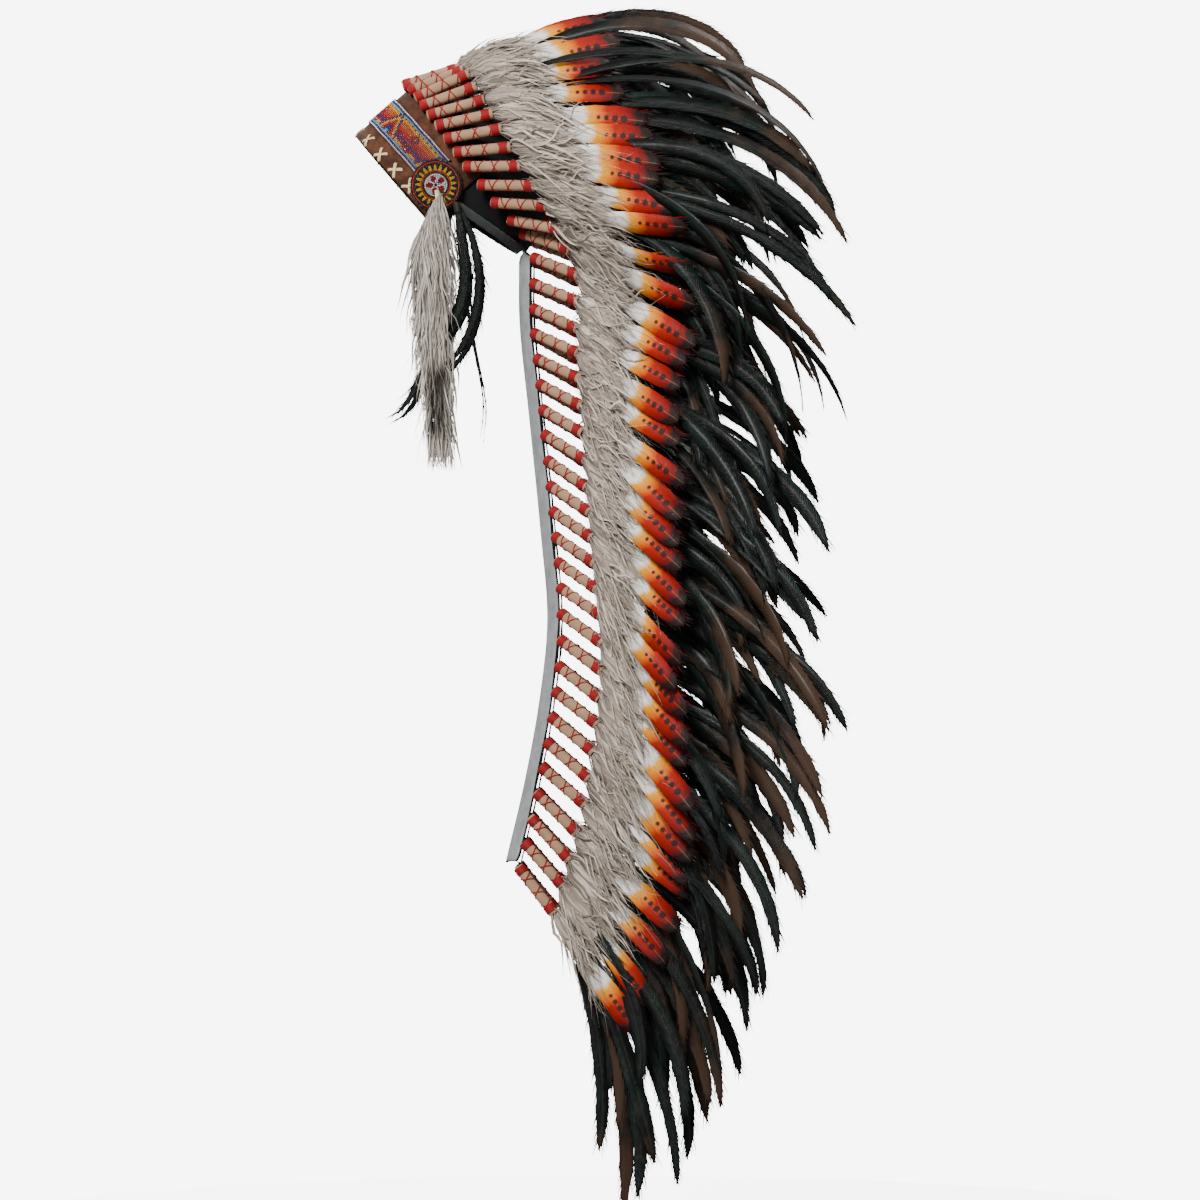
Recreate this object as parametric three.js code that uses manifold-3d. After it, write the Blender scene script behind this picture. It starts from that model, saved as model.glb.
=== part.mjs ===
// Feathered headdress: a felt skullcap with a beaded brow band, ringed by bound feathers that carry on
// down both edges of a long felt strip. Millimetres, +Z up; the wearer looks along -Y and +X is the
// wearer's left. The origin is the middle of the head opening, at the height of the rosettes.
import * as THREE from "three";
import { mergeVertices } from "three/addons/utils/BufferGeometryUtils.js";
import Module from "manifold-3d";

const wasm = await Module();
wasm.setup();

const gap = 0.4; // clearance between pieces that rest on each other

// The head's outline is an oval in a plane that leans back by tilt degrees. Heights run square to it.
const head = { tilt: 49, halfWidth: 82, front: 98, back: 98 };
const band = { low: -26, high: 43.5, thick: 2.5, end: 101.25, step: 6.75 };
const beadStrip = { low: -6.5, high: 28.5, thick: 2, end: 84, step: 7 };
const cap = { thick: 2.5, frontEdge: 18, templeEdge: -7.5, rise: 0.27, rim: 43.5, top: 98, step: 15 };
const capSlope = { from: 60, to: 90 }; // degrees from the brow between which the edge drops to the temple
const capRings = [0, 0.38, 0.66, 0.88]; // shares of the way from the edge to the top
const hem = { height: 9, thick: 1.2, start: 105, step: 15 };
const rosette = { out: 85.2, along: -0.5, up: 2.2, sides: 20 };
const rosetteProfile = [
  { radius: 0, out: 0 },
  { radius: 25, out: 0 },
  { radius: 26, out: 1.6 },
  { radius: 24, out: 3 },
  { radius: 12, out: 4 },
  { radius: 0, out: 4.6 },
];
const strip = { halfWidth: 32, thick: 2.4, sewnAt: 38, cup: 9, curl: 11, uncupped: 0.14, steps: 16 };
const wrap = { radius: 5.4, length: 60, sides: 6, off: 7, edge: 6 };
const thread = { along: 5, half: 0.9 };

const crownCount = 14; // bound feathers from the middle of the brow to the strip, on one side
const trailerCount = 25; // and down one edge of the strip
const stretch = 5; // trailer wraps that share one node
const nearby = 0.4; // stations to each side between which the row's own direction is taken

// One row for each key feather of a side, counted from the middle of the brow; those between are
// interpolated. Angles in degrees: ring is the place round the head and lift the distance above its
// plane, wrap and vane are the pitches of the wrap and of the painted feather above level, flare is the
// lean out to the side, turn rolls the blades about their shafts, and a plume goes from pitch rise to
// pitch fall over reach mm.
const featherColumns = ["at", "ring", "lift", "wrap", "flare", "vane", "turn", "rise", "fall", "reach"];
const feathers = [
  [0, 4.8, 43, 17, 2, 19, 36, 24, -46, 345],
  [3, 37.7, 43, 24, 4, 11, 30, 17, -48, 350],
  [6, 63.3, 39.5, 12, 8, -4, 8, 9, -52, 355],
  [9, 91.3, 34, 1, 16, -7, -20, -2, -58, 350],
  [11, 116.7, 32, -5, 20, -10, -24, -8, -62, 340],
  [13, 147.5, 35.5, -20, 27, -25, -24, -18, -64, 325],
  [14, 150, 35, -22, 30, -32, -24, -20, -66, 300],
  [18, 150, 35, -27, 32, -37, -24, -18, -58, 290],
  [22, 150, 35, -34, 33, -41, -24, -20, -58, 300],
  [26, 150, 35, -35, 31, -51, -24, -20, -62, 315],
  [30, 150, 35, -37, 23, -50, -24, -25, -68, 290],
  [34, 150, 35, -42, 11, -42, -18, -36, -70, 280],
  [36, 150, 35, -47, 8, -49, -14, -45, -76, 300],
  [38, 150, 35, -51, 7, -57, -10, -57, -92, 310],
].map((row) => Object.fromEntries(row.map((value, i) => [featherColumns[i], value])));

// The strip hangs from the cap's back edge: its middle line in side view.
const stripLine = [
  { y: 83.5, z: -67 },
  { y: 84, z: -130 },
  { y: 94, z: -230 },
  { y: 105, z: -340 },
  { y: 112, z: -430 },
  { y: 105, z: -505 },
  { y: 90, z: -590 },
  { y: 70, z: -676 },
];

// Sections along a feather, measured from the wrap's end and out from the feather's face.
const furStart = 4.4;
const furWave = { swell: 0.07, turns: 2.4, between: 0.84 };
const furSection = [
  { along: furStart, out: 5 },
  { along: 34, out: 15 },
  { along: 80, out: 3 },
  { along: 36, out: -5 },
  { along: furStart, out: -5 },
];
const blade = { thick: 2, ridge: 0.35 };
const root = { deep: 4, thick: 1.6 };
const painted = {
  along: 88,
  out: 0,
  half: 8,
  sections: [{ along: 120, wide: 26 }, { along: 149, wide: 14 }],
};
const plume = { along: 6, out: -17, half: 4, crownWidths: [27, 30], trailerWidths: [28, 27] };
const plumeWay = { droop: 1.3, gather: 0.45, stray: 0.06, turns: 5.1 };
const radians = THREE.MathUtils.degToRad;
const point = (x, y, z) => new THREE.Vector3(x, y, z);

// ---- shapes ----

// Faces that close a ring of points without a middle point.
function capFaces(first, count) {
  const faces = [];
  let low = 0;
  let high = count - 1;
  while (high - low > 1) {
    faces.push([first + low, first + low + 1, first + high]);
    low += 1;
    if (high - low > 1) faces.push([first + low, first + high - 1, first + high]);
    high -= high - low > 1 ? 1 : 0;
  }
  return faces;
}

// A closed skin of triangles, turned so that it faces out.
function skin(points, faces) {
  const volume = faces.reduce((sum, [a, b, c]) => {
    return sum + points[a].dot(points[b].clone().cross(points[c]));
  }, 0);
  if (volume < 0) faces.forEach((face) => face.reverse());
  const made = new THREE.BufferGeometry();
  made.setAttribute("position", new THREE.Float32BufferAttribute(points.flatMap((p) => p.toArray()), 3));
  made.setIndex(faces.flat());
  return made;
}

// A closed skin through rings with equally many points; an end may be a single point.
function loft(rings) {
  const points = rings.flat();
  const faces = [];
  let first = 0;
  rings.slice(1).forEach((next, i) => {
    const here = rings[i];
    const second = first + here.length;
    for (let k = 0; k < Math.max(here.length, next.length); k += 1) {
      const a = first + (k % here.length);
      const b = first + ((k + 1) % here.length);
      const c = second + (k % next.length);
      const d = second + ((k + 1) % next.length);
      if (a !== b) faces.push([a, b, d]);
      if (c !== d) faces.push([a, d, c]);
    }
    first = second;
  });
  faces.push(...capFaces(0, rings[0].length).map((face) => face.reverse()));
  faces.push(...capFaces(first, rings.at(-1).length));
  return skin(points, faces);
}

function solidOf(geometry) {
  const bare = geometry.clone();
  bare.deleteAttribute("normal");
  bare.deleteAttribute("uv");
  const merged = mergeVertices(bare, 1e-4);
  return new wasm.Manifold(
    new wasm.Mesh({
      numProp: 3,
      vertProperties: merged.attributes.position.array,
      triVerts: new Uint32Array(merged.index.array),
    }),
  );
}

function joined(geometries) {
  const mesh = geometries
    .map(solidOf)
    .reduce((all, next) => all.add(next))
    .getMesh();
  const made = new THREE.BufferGeometry();
  made.setAttribute("position", new THREE.BufferAttribute(mesh.vertProperties, 3));
  made.setIndex(new THREE.BufferAttribute(mesh.triVerts, 1));
  return made;
}

// ---- places ----

// A point from its distance across, its distance back in the leaning plane and its height above it.
function leaning(across, back, height) {
  const lean = radians(head.tilt);
  return point(
    across,
    back * Math.cos(lean) + height * Math.sin(lean),
    height * Math.cos(lean) - back * Math.sin(lean),
  );
}

// A point of the head's outline: 0 degrees is the brow, 90 the left temple and 180 the back.
function headPoint(angle, height, out = 0, share = 1) {
  const forward = Math.cos(radians(angle));
  const reach = (forward > 0 ? head.front : head.back) + out;
  const across = Math.sin(radians(angle)) * (head.halfWidth + out);
  return leaning(across * share, -forward * reach * share, height);
}

function anglesTo(end, step) {
  const count = Math.round((2 * end) / step);
  return Array.from({ length: count + 1 }, (_, i) => -end + i * step);
}

function valueAt(station, column) {
  const next = feathers.find((row) => row.at > Math.max(station, 0)) ?? feathers.at(-1);
  const row = feathers[feathers.indexOf(next) - 1];
  return THREE.MathUtils.mapLinear(station, row.at, next.at, row[column], next[column]);
}

const stripCurve = new THREE.CatmullRomCurve3(stripLine.map(({ y, z }) => point(0, y, z)));

// Square to the strip, away from the wearer's back.
function backOf(share) {
  const tangent = stripCurve.getTangentAt(share);
  return point(0, -tangent.z, tangent.y);
}

function crownBase(station, side) {
  return headPoint(side * valueAt(station, "ring"), valueAt(station, "lift"), wrap.off);
}

function trailerBase(station, side) {
  const share = THREE.MathUtils.clamp((station - crownCount) / (trailerCount - 1), 0, 1);
  const base = stripCurve.getPointAt(share).addScaledVector(backOf(share), strip.curl);
  return base.setX(side * (strip.halfWidth + wrap.edge));
}

// The way that a feather points: flare leans it out to the side, pitch lifts it above level.
function aim(side, pitch, flare) {
  const level = Math.cos(radians(flare));
  return point(
    side * Math.sin(radians(flare)),
    level * Math.cos(radians(pitch)),
    level * Math.sin(radians(pitch)),
  );
}

// Where a bound feather starts and ends, and which way its face looks.
function bindAt(station, side) {
  const baseAt = station < crownCount ? crownBase : trailerBase;
  const base = baseAt(station, side);
  const flare = valueAt(station, "flare");
  const axis = aim(side, valueAt(station, "wrap"), flare);
  const quill = aim(side, valueAt(station, "vane"), flare);
  const along = baseAt(station + nearby, side).sub(baseAt(station - nearby, side));
  const face = along.cross(quill).multiplyScalar(side).normalize();
  const end = base.clone().addScaledVector(axis, wrap.length);
  return { station, side, base, axis, quill, face, flare, end };
}

function halfWay(a, b) {
  const mix = (key) => a[key].clone().add(b[key]);
  return {
    station: (a.station + b.station) / 2,
    end: mix("end").multiplyScalar(0.5),
    quill: mix("quill").normalize(),
    face: mix("face").normalize(),
  };
}

const along = (bind, distance, out) =>
  bind.end.clone().addScaledVector(bind.quill, distance).addScaledVector(bind.face, out);

// ---- cap and band ----

function capEdge(angle) {
  const turned = Math.abs(angle);
  if (turned > capSlope.to) return cap.templeEdge - cap.rise * head.back * Math.cos(radians(turned));
  const share = THREE.MathUtils.smoothstep(turned, capSlope.from, capSlope.to);
  return THREE.MathUtils.lerp(cap.frontEdge, cap.templeEdge, share);
}

// One ring of the cap's dome, at a share of the way from its edge to its top.
function capRing(share, inset) {
  const angles = anglesTo(180, cap.step).slice(1);
  const top = cap.top - inset;
  return angles.map((angle) => {
    const height = THREE.MathUtils.lerp(capEdge(angle), top, share);
    const above = Math.max(height - cap.rim, 0) / (top - cap.rim);
    return headPoint(angle, height, -band.thick - gap - inset, Math.sqrt(1 - above * above));
  });
}

function skullcap() {
  return loft([
    [leaning(0, 0, cap.top)],
    ...capRings.toReversed().map((share) => capRing(share, 0)),
    ...capRings.map((share) => capRing(share, cap.thick)),
    [leaning(0, 0, cap.top - cap.thick)],
  ]);
}

// A strip laid on the head's outline between two heights, out from the outline by out.
function wrapped(angles, low, high, out, thick) {
  return loft(
    angles.map((angle) => {
      const [bottom, top] = typeof low === "function" ? [low(angle), low(angle) + high] : [low, high];
      return [
        headPoint(angle, bottom, out),
        headPoint(angle, bottom, out + thick),
        headPoint(angle, top, out + thick),
        headPoint(angle, top, out),
      ];
    }),
  );
}

const hemAngles = anglesTo(180 - hem.start, hem.step).map((angle) => angle + 180);

function rosetteShape() {
  return new THREE.LatheGeometry(
    rosetteProfile.map(({ radius, out }) => new THREE.Vector2(radius, out)),
    rosette.sides,
  );
}

// ---- drops below the rosettes ----

// Sections of the fur tail: place, and half its width and half its depth.
const tailRows = [
  { x: 94, y: 4, z: -8, wide: 3, deep: 2.5 },
  { x: 96, y: -1, z: -22, wide: 8, deep: 5 },
  { x: 97, y: -5, z: -40, wide: 16, deep: 8 },
  { x: 98, y: -7, z: -64, wide: 22, deep: 11 },
  { x: 98, y: -6, z: -104, wide: 19, deep: 11 },
  { x: 98, y: -3, z: -146, wide: 16, deep: 10 },
  { x: 97, y: 1, z: -196, wide: 10, deep: 7 },
  { x: 97, y: 2, z: -244, wide: 8, deep: 6 },
  { x: 97, y: 2, z: -270, wide: 2, deep: 2 },
];

function furTail() {
  const turns = [0, 60, 120, 180, 240, 300].map(radians);
  return loft(
    tailRows.map(({ x, y, z, wide, deep }) =>
      turns.map((turn) => point(x + deep * Math.sin(turn), y + wide * Math.cos(turn), z)),
    ),
  );
}

// The black feathers beside the tail: their middle lines in side view, and how wide each one is.
const knot = { x: 86, y: 21, z: -22, size: 8 };
const bladeEnd = 2 / 3; // a drop feather's width at its root and near its tip, as a share of its widest
const dropFeathers = [
  {
    wide: 15,
    x: 87,
    line: [[21, -20], [24, -48], [28, -86], [22, -121], [3, -149], [-13, -184], [-35, -221], [-48, -229]],
  },
  {
    wide: 7,
    x: 84.6,
    line: [[22, -20], [35, -48], [42, -88], [40, -114], [33, -142], [22, -163], [-9, -196]],
  },
  {
    wide: 4,
    x: 82.6,
    line: [[22, -20], [30, -90], [34, -141], [45, -199], [47, -221], [44, -249]],
  },
];

function dropBlades() {
  const blades = dropFeathers.map(({ wide, x, line }) =>
    loft(
      line.map(([y, z], i) => {
        const atEnd = i === 0 || i === line.length - 2;
        const half = (wide / 2) * (atEnd ? bladeEnd : 1);
        const section = [point(x, y - half, z), point(x, y + half, z), point(x + root.thick, y, z)];
        return i < line.length - 1 ? section : [point(x, y, z)];
      }),
    ),
  );
  const tie = new THREE.BoxGeometry(knot.size, knot.size, knot.size).translate(knot.x, knot.y, knot.z);
  return joined([tie, ...blades]);
}

// ---- the strip ----

// A section of the strip; its edges stand forward of its middle by bow.
function stripRing(centre, bow, back) {
  const columns = [-1, -0.5, 0, 0.5, 1];
  const row = (depth) =>
    columns.map((c) => {
      const place = point(c * strip.halfWidth, centre.y, centre.z);
      return place.addScaledVector(back, -depth - bow * c * c);
    });
  return [...row(0), ...row(strip.thick).reverse()];
}

function trailerStrip() {
  const sewnOut = head.back + hem.thick + strip.thick + 2 * gap;
  const rings = [stripRing(leaning(0, sewnOut, strip.sewnAt), strip.cup, leaning(0, 1, 0))];
  for (let i = 0; i <= strip.steps; i += 1) {
    const share = i / strip.steps;
    const bow = THREE.MathUtils.lerp(strip.cup, -strip.curl, Math.min(share / strip.uncupped, 1));
    rings.push(stripRing(stripCurve.getPointAt(share), bow, backOf(share)));
  }
  return loft(rings);
}

// ---- bound feathers ----

const materials = {
  felt: { color: "#161616", roughness: 0.95 },
  hemFelt: { color: "#4c4e50", roughness: 0.9 },
  stripFelt: { color: "#9da1a2", roughness: 0.9 },
  suede: { color: "#5b3623", roughness: 0.85 },
  glass: { color: "#d0702a", roughness: 0.25 },
  rosetteGlass: { color: "#c2a02c", roughness: 0.25 },
  wrapFelt: { color: "#c9a687", roughness: 0.9 },
  fur: { color: "#b5aaa2", roughness: 1 },
  painted: { color: "#e0561d", roughness: 0.6 },
  plume: { color: "#12211c", roughness: 0.45 },
};

function mesh(name, geometry, finish) {
  const material = new THREE.MeshStandardMaterial({ ...materials[finish], metalness: 0 });
  const made = new THREE.Mesh(geometry, material);
  made.name = name;
  return made;
}

function wrapMesh(name, bind) {
  const tube = new THREE.CylinderGeometry(wrap.radius, wrap.radius, wrap.length, wrap.sides);
  const made = mesh(name, tube, "wrapFelt");
  made.position.copy(bind.base).addScaledVector(bind.axis, wrap.length / 2);
  made.quaternion.setFromUnitVectors(point(0, 1, 0), bind.axis);
  return made;
}

// Wraps that follow each other down the strip's edge, on the thread that sews them to it.
function wrapStretch(name, binds) {
  const tubes = binds.map((bind) => {
    const tube = wrapMesh(name, bind);
    tube.updateMatrix();
    return tube.geometry.applyMatrix4(tube.matrix);
  });
  const sewn = binds.map((bind) => bind.base.clone().addScaledVector(bind.axis, thread.along));
  const corners = [[-1, -1], [1, -1], [0, 1]];
  const rope = loft(
    sewn.map((p) => corners.map(([a, b]) => p.clone().add(point(a * thread.half, b * thread.half, 0)))),
  );
  return mesh(name, joined([rope, ...tubes]), "wrapFelt");
}

// The fluff over the quills: one wavy mass, fullest at each feather and thinner between them.
function furRow(binds) {
  const ring = (bind, full) => {
    const swell = 1 + furWave.swell * Math.sin(bind.station * furWave.turns);
    return furSection.map((row) => {
      return along(bind, furStart + (row.along - furStart) * full * swell, row.out * full);
    });
  };
  const rings = binds.flatMap((bind, i) => {
    const next = binds[i + 1];
    return next ? [ring(bind, 1), ring(halfWay(bind, next), furWave.between)] : [ring(bind, 1)];
  });
  return loft(rings);
}

// Blades that grow from one thin root strip through every feather of a row, as one closed skin.
// rings(bind, run) gives the four-cornered sections of a blade beyond the strip, to a tip or a flat end.
function comb(binds, at, rings) {
  const middles = binds.map((bind) => along(bind, at.along, at.out));
  const points = [];
  const faces = [];
  const quad = (a, b, c, d) => faces.push([a, b, c], [a, c, d]);
  let last = 0; // where the root strip's latest corners start
  binds.forEach((bind, i) => {
    const run = (middles[i + 1] ?? middles[i]).clone().sub(middles[i - 1] ?? middles[i]).normalize();
    const first = points.length;
    for (const edge of [-at.half, at.half])
      for (const [back, up] of [[root.deep, 0], [0, 0], [0, root.thick], [root.deep, root.thick]]) {
        const corner = middles[i].clone().addScaledVector(run, edge).addScaledVector(bind.quill, -back);
        points.push(corner.addScaledVector(bind.face, up));
      }
    for (const k of [0, 2, 3]) {
      const after = (k + 1) % 4;
      quad(first + k, first + after, first + 4 + after, first + 4 + k);
    }
    if (i > 0)
      for (let k = 0; k < 4; k += 1) quad(last + k, last + ((k + 1) % 4), first + ((k + 1) % 4), first + k);
    last = first + 4;
    let here = [first + 1, first + 5, first + 6, first + 2];
    for (const ring of rings(bind, run)) {
      const next = ring.map((_, k) => points.length + k);
      points.push(...ring);
      here.forEach((a, k) => {
        const b = here[(k + 1) % 4];
        if (next.length === 1) faces.push([b, a, next[0]]);
        else quad(b, a, next[k], next[(k + 1) % 4]);
      });
      here = next;
    }
    if (here.length === 4) quad(...here.toReversed());
  });
  quad(3, 2, 1, 0);
  quad(last, last + 1, last + 2, last + 3);
  return skin(points, faces);
}

// Four corners of a blade's section, flat with a narrower ridge, turned like a roof tile.
function bladeSection(bind, run, middle, way, wide) {
  const face = bind.face.clone().applyAxisAngle(way, radians(valueAt(bind.station, "turn") * bind.side));
  const across = way.clone().cross(face).normalize();
  if (across.dot(run) < 0) across.negate();
  const corner = (out, up) => {
    return middle.clone().addScaledVector(across, (wide / 2) * out).addScaledVector(face, up);
  };
  return [
    corner(-1, 0),
    corner(1, 0),
    corner(blade.ridge, blade.thick),
    corner(-blade.ridge, blade.thick),
  ];
}

function paintedRow(binds) {
  return comb(binds, painted, (bind, run) =>
    painted.sections.map((row) => {
      return bladeSection(bind, run, along(bind, row.along, painted.out), bind.quill, row.wide);
    }),
  );
}

// The plumes leave the wraps behind the fluff and droop as they go.
function plumeRow(binds) {
  return comb(binds, plume, (bind, run) => {
    const stray = 1 + plumeWay.stray * Math.sin(bind.station * plumeWay.turns);
    const widths = bind.station < crownCount ? plume.crownWidths : plume.trailerWidths;
    const steps = widths.length + 1;
    const step = (valueAt(bind.station, "reach") * stray) / steps;
    const here = along(bind, plume.along, plume.out);
    const rings = [];
    for (let i = 0; i < steps; i += 1) {
      const share = (i + 0.5) / steps;
      const pitch = THREE.MathUtils.lerp(
        valueAt(bind.station, "rise"),
        valueAt(bind.station, "fall"),
        share ** plumeWay.droop,
      );
      const way = aim(bind.side, pitch, bind.flare * (1 - plumeWay.gather * share));
      here.addScaledVector(way, step);
      const wide = widths[i];
      rings.push(wide ? bladeSection(bind, run, here, way, wide) : [here.clone()]);
    }
    return rings;
  });
}

// ---- the whole headdress ----

const group = new THREE.Group();
const numbered = (index) => String(index).padStart(2, "0");
const sides = [
  { word: "left", side: 1 },
  { word: "right", side: -1 },
];

group.add(
  mesh("skullcap", skullcap(), "felt"),
  mesh("cap_hem", wrapped(hemAngles, capEdge, hem.height, 0, hem.thick), "hemFelt"),
  mesh(
    "brow_band",
    wrapped(anglesTo(band.end, band.step), band.low, band.high, -band.thick, band.thick),
    "suede",
  ),
  mesh(
    "beaded_strip",
    wrapped(anglesTo(beadStrip.end, beadStrip.step), beadStrip.low, beadStrip.high, gap, beadStrip.thick),
    "glass",
  ),
  mesh("trailer_strip", trailerStrip(), "stripFelt"),
);

const crownBinds = [];
for (const { word, side } of sides) {
  const disc = new THREE.Group();
  disc.position.set(side * rosette.out, rosette.along, rosette.up);
  disc.rotation.z = radians(-90 * side);
  disc.add(mesh(`rosette_${word}`, rosetteShape(), "rosetteGlass"));
  const drops = new THREE.Group();
  drops.scale.x = side;
  drops.add(
    mesh(`fur_drop_${word}`, furTail(), "fur"),
    mesh(`drop_feathers_${word}`, dropBlades(), "plume"),
  );
  group.add(disc, drops);

  const crown = Array.from({ length: crownCount }, (_, i) => bindAt(i, side));
  const trailer = Array.from({ length: trailerCount }, (_, i) => bindAt(crownCount + i, side));
  crown.forEach((bind, i) => group.add(wrapMesh(`crown_wrap_${word}_${numbered(i + 1)}`, bind)));
  for (let i = 0; i < trailerCount; i += stretch) {
    const name = `trailer_wraps_${word}_${numbered(i / stretch + 1)}`;
    group.add(wrapStretch(name, trailer.slice(i, i + stretch)));
  }
  group.add(
    mesh(`trailer_fur_${word}`, furRow(trailer), "fur"),
    mesh(`trailer_painted_${word}`, paintedRow(trailer), "painted"),
    mesh(`trailer_plumes_${word}`, plumeRow(trailer), "plume"),
  );
  crownBinds.push(side > 0 ? crown : crown.toReversed());
}

const ring = [...crownBinds[1], ...crownBinds[0]];
group.add(
  mesh("crown_fur", furRow(ring), "fur"),
  mesh("crown_painted", paintedRow(ring), "painted"),
  mesh("crown_plumes", plumeRow(ring), "plume"),
);

export default group;
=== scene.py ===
import bmesh
import bpy
import numpy as np
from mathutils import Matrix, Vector


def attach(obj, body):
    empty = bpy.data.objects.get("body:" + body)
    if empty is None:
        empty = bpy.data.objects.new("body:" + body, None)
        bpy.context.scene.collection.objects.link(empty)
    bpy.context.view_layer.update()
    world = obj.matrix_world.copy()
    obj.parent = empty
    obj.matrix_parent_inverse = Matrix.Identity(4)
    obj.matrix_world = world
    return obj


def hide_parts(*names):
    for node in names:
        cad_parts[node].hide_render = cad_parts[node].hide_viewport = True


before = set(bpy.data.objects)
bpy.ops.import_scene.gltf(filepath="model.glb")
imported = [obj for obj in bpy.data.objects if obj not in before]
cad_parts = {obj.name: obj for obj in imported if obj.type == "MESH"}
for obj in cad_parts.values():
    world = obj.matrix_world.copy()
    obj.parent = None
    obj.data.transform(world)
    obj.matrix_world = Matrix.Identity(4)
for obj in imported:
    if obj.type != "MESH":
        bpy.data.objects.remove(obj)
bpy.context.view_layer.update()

print("frame loaded")
rng = np.random.default_rng(11)
mm = 0.001

# Where things are, in millimetres and degrees, as the solids have them.
head = dict(tilt=49, halfWidth=82, reach=98)
band = dict(low=-26, high=43.5, thick=2.5, end=101.25)
beadStrip = dict(low=-6.5, high=28.5, end=84)
cap = dict(thick=2.5, frontEdge=18, templeEdge=-7.5, rise=0.27, rim=43.5, top=98)
hem = dict(height=9, thick=1.2, start=105)
rosette = dict(out=85.2, along=-0.5, up=2.2, radius=25.6)
strip = dict(halfWidth=32, thick=2.4, sewnAt=38, cup=9, curl=11)
wrap = dict(radius=5.4, length=60, off=7, edge=6)
crownCount = 14
trailerCount = 25

# One column for each number of a bound feather, by its place along the row from the middle of the brow.
stations = dict(
    at=[0, 3, 6, 9, 11, 13, 14, 18, 22, 26, 30, 34, 36, 38],
    ring=[4.8, 37.7, 63.3, 91.3, 116.7, 147.5, 150, 150, 150, 150, 150, 150, 150, 150],
    lift=[43, 43, 39.5, 34, 32, 35.5, 35, 35, 35, 35, 35, 35, 35, 35],
    wrap=[17, 24, 12, 1, -5, -20, -22, -27, -34, -35, -37, -42, -47, -51],
    flare=[2, 4, 8, 16, 20, 27, 30, 32, 33, 31, 23, 11, 8, 7],
    vane=[19, 11, -4, -7, -10, -25, -32, -37, -41, -51, -50, -42, -49, -57],
    turn=[36, 30, 8, -20, -24, -24, -24, -24, -24, -24, -24, -18, -14, -10],
    rise=[24, 17, 9, -2, -8, -18, -20, -18, -20, -20, -25, -36, -45, -57],
    fall=[-46, -48, -52, -58, -62, -64, -66, -58, -58, -62, -68, -70, -76, -92],
    reach=[345, 350, 355, 350, 340, 325, 300, 290, 300, 315, 290, 280, 300, 310],
)
stripLine = np.array([
    (83.5, -67), (84, -130), (94, -230), (105, -340), (112, -430), (105, -505), (90, -590), (70, -676),
], float)


def column(name, station):
    return np.interp(station, stations["at"], stations[name])


def unit(v):
    return v / np.maximum(np.linalg.norm(v, axis=-1, keepdims=True), 1e-9)


def stack(x, y, z):
    return np.stack(np.broadcast_arrays(x, y, z), axis=-1).astype(float)


def leaning(across, back, height):
    lean = np.radians(head["tilt"])
    return stack(across, back * np.cos(lean) + height * np.sin(lean),
                 height * np.cos(lean) - back * np.sin(lean))


def headPoint(angle, height, out=0, share=1):
    turn = np.radians(angle)
    return leaning(np.sin(turn) * (head["halfWidth"] + out) * share,
                   -np.cos(turn) * (head["reach"] + out) * share, height)


def centripetal(points, count=120):
    # a smooth line through the points, and its running length
    ends = np.vstack([2 * points[0] - points[1], points, 2 * points[-1] - points[-2]])
    t = np.linspace(0, 1, count, endpoint=False)[:, None]
    line = []
    for p0, p1, p2, p3 in zip(ends, ends[1:], ends[2:], ends[3:]):
        d0, d1, d2 = (np.linalg.norm(b - a) ** 0.5 for a, b in ((p0, p1), (p1, p2), (p2, p3)))
        m1 = ((p1 - p0) / d0 - (p2 - p0) / (d0 + d1) + (p2 - p1) / d1) * d1
        m2 = ((p2 - p1) / d1 - (p3 - p1) / (d1 + d2) + (p3 - p2) / d2) * d1
        line.append(p1 + t * m1 + t**2 * (3 * (p2 - p1) - 2 * m1 - m2) + t**3 * (2 * (p1 - p2) + m1 + m2))
    line = np.vstack(line + [points[-1:]])
    length = np.concatenate([[0], np.cumsum(np.linalg.norm(np.diff(line, axis=0), axis=1))])
    return line, length


stripPath, stripLength = centripetal(stripLine)


def stripAt(share):
    # the strip's middle line and the way square to it, away from the wearer's back
    reach = np.clip(share, 0, 1) * stripLength[-1]
    place = [np.interp(reach, stripLength, stripPath[:, i]) for i in (0, 1)]
    near = [np.interp(np.clip(reach + s, 0, stripLength[-1]), stripLength, stripPath[:, i])
            for i in (0, 1) for s in (-2, 2)]
    run = unit(stack(0, near[1] - near[0], near[3] - near[2]))
    return stack(0, *place), stack(0, -run[..., 2], run[..., 1])


def quillBase(station, side):
    station = np.asarray(station, float)
    crown = headPoint(side * column("ring", station), column("lift", station), wrap["off"])
    middle, back = stripAt((station - crownCount) / (trailerCount - 1))
    trailer = middle + back * strip["curl"]
    trailer[..., 0] = side * (strip["halfWidth"] + wrap["edge"])
    # between the last of the crown and the first of the trailer the row runs straight over
    share = np.clip(station - (crownCount - 1), 0, 1)[..., None]
    return crown * (1 - share) + trailer * share


def aim(side, pitch, flare):
    p, f = np.radians(pitch), np.radians(flare)
    return stack(side * np.sin(f), np.cos(f) * np.cos(p), np.cos(f) * np.sin(p))


def rowPlaces(station, side):
    # where the bound feathers at these stations start and end, and which way their faces look
    station = np.asarray(station, float)
    base = quillBase(station, side)
    flare = column("flare", station)
    axis = aim(side, column("wrap", station), flare)
    quill = aim(side, column("vane", station), flare)
    run = unit(quillBase(station + 0.4, side) - quillBase(station - 0.4, side))
    face = unit(np.cross(run, quill)) * side
    return dict(station=station, side=side, base=base, axis=axis, quill=quill, run=run, face=face,
                flare=flare, end=base + axis * wrap["length"])


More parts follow.
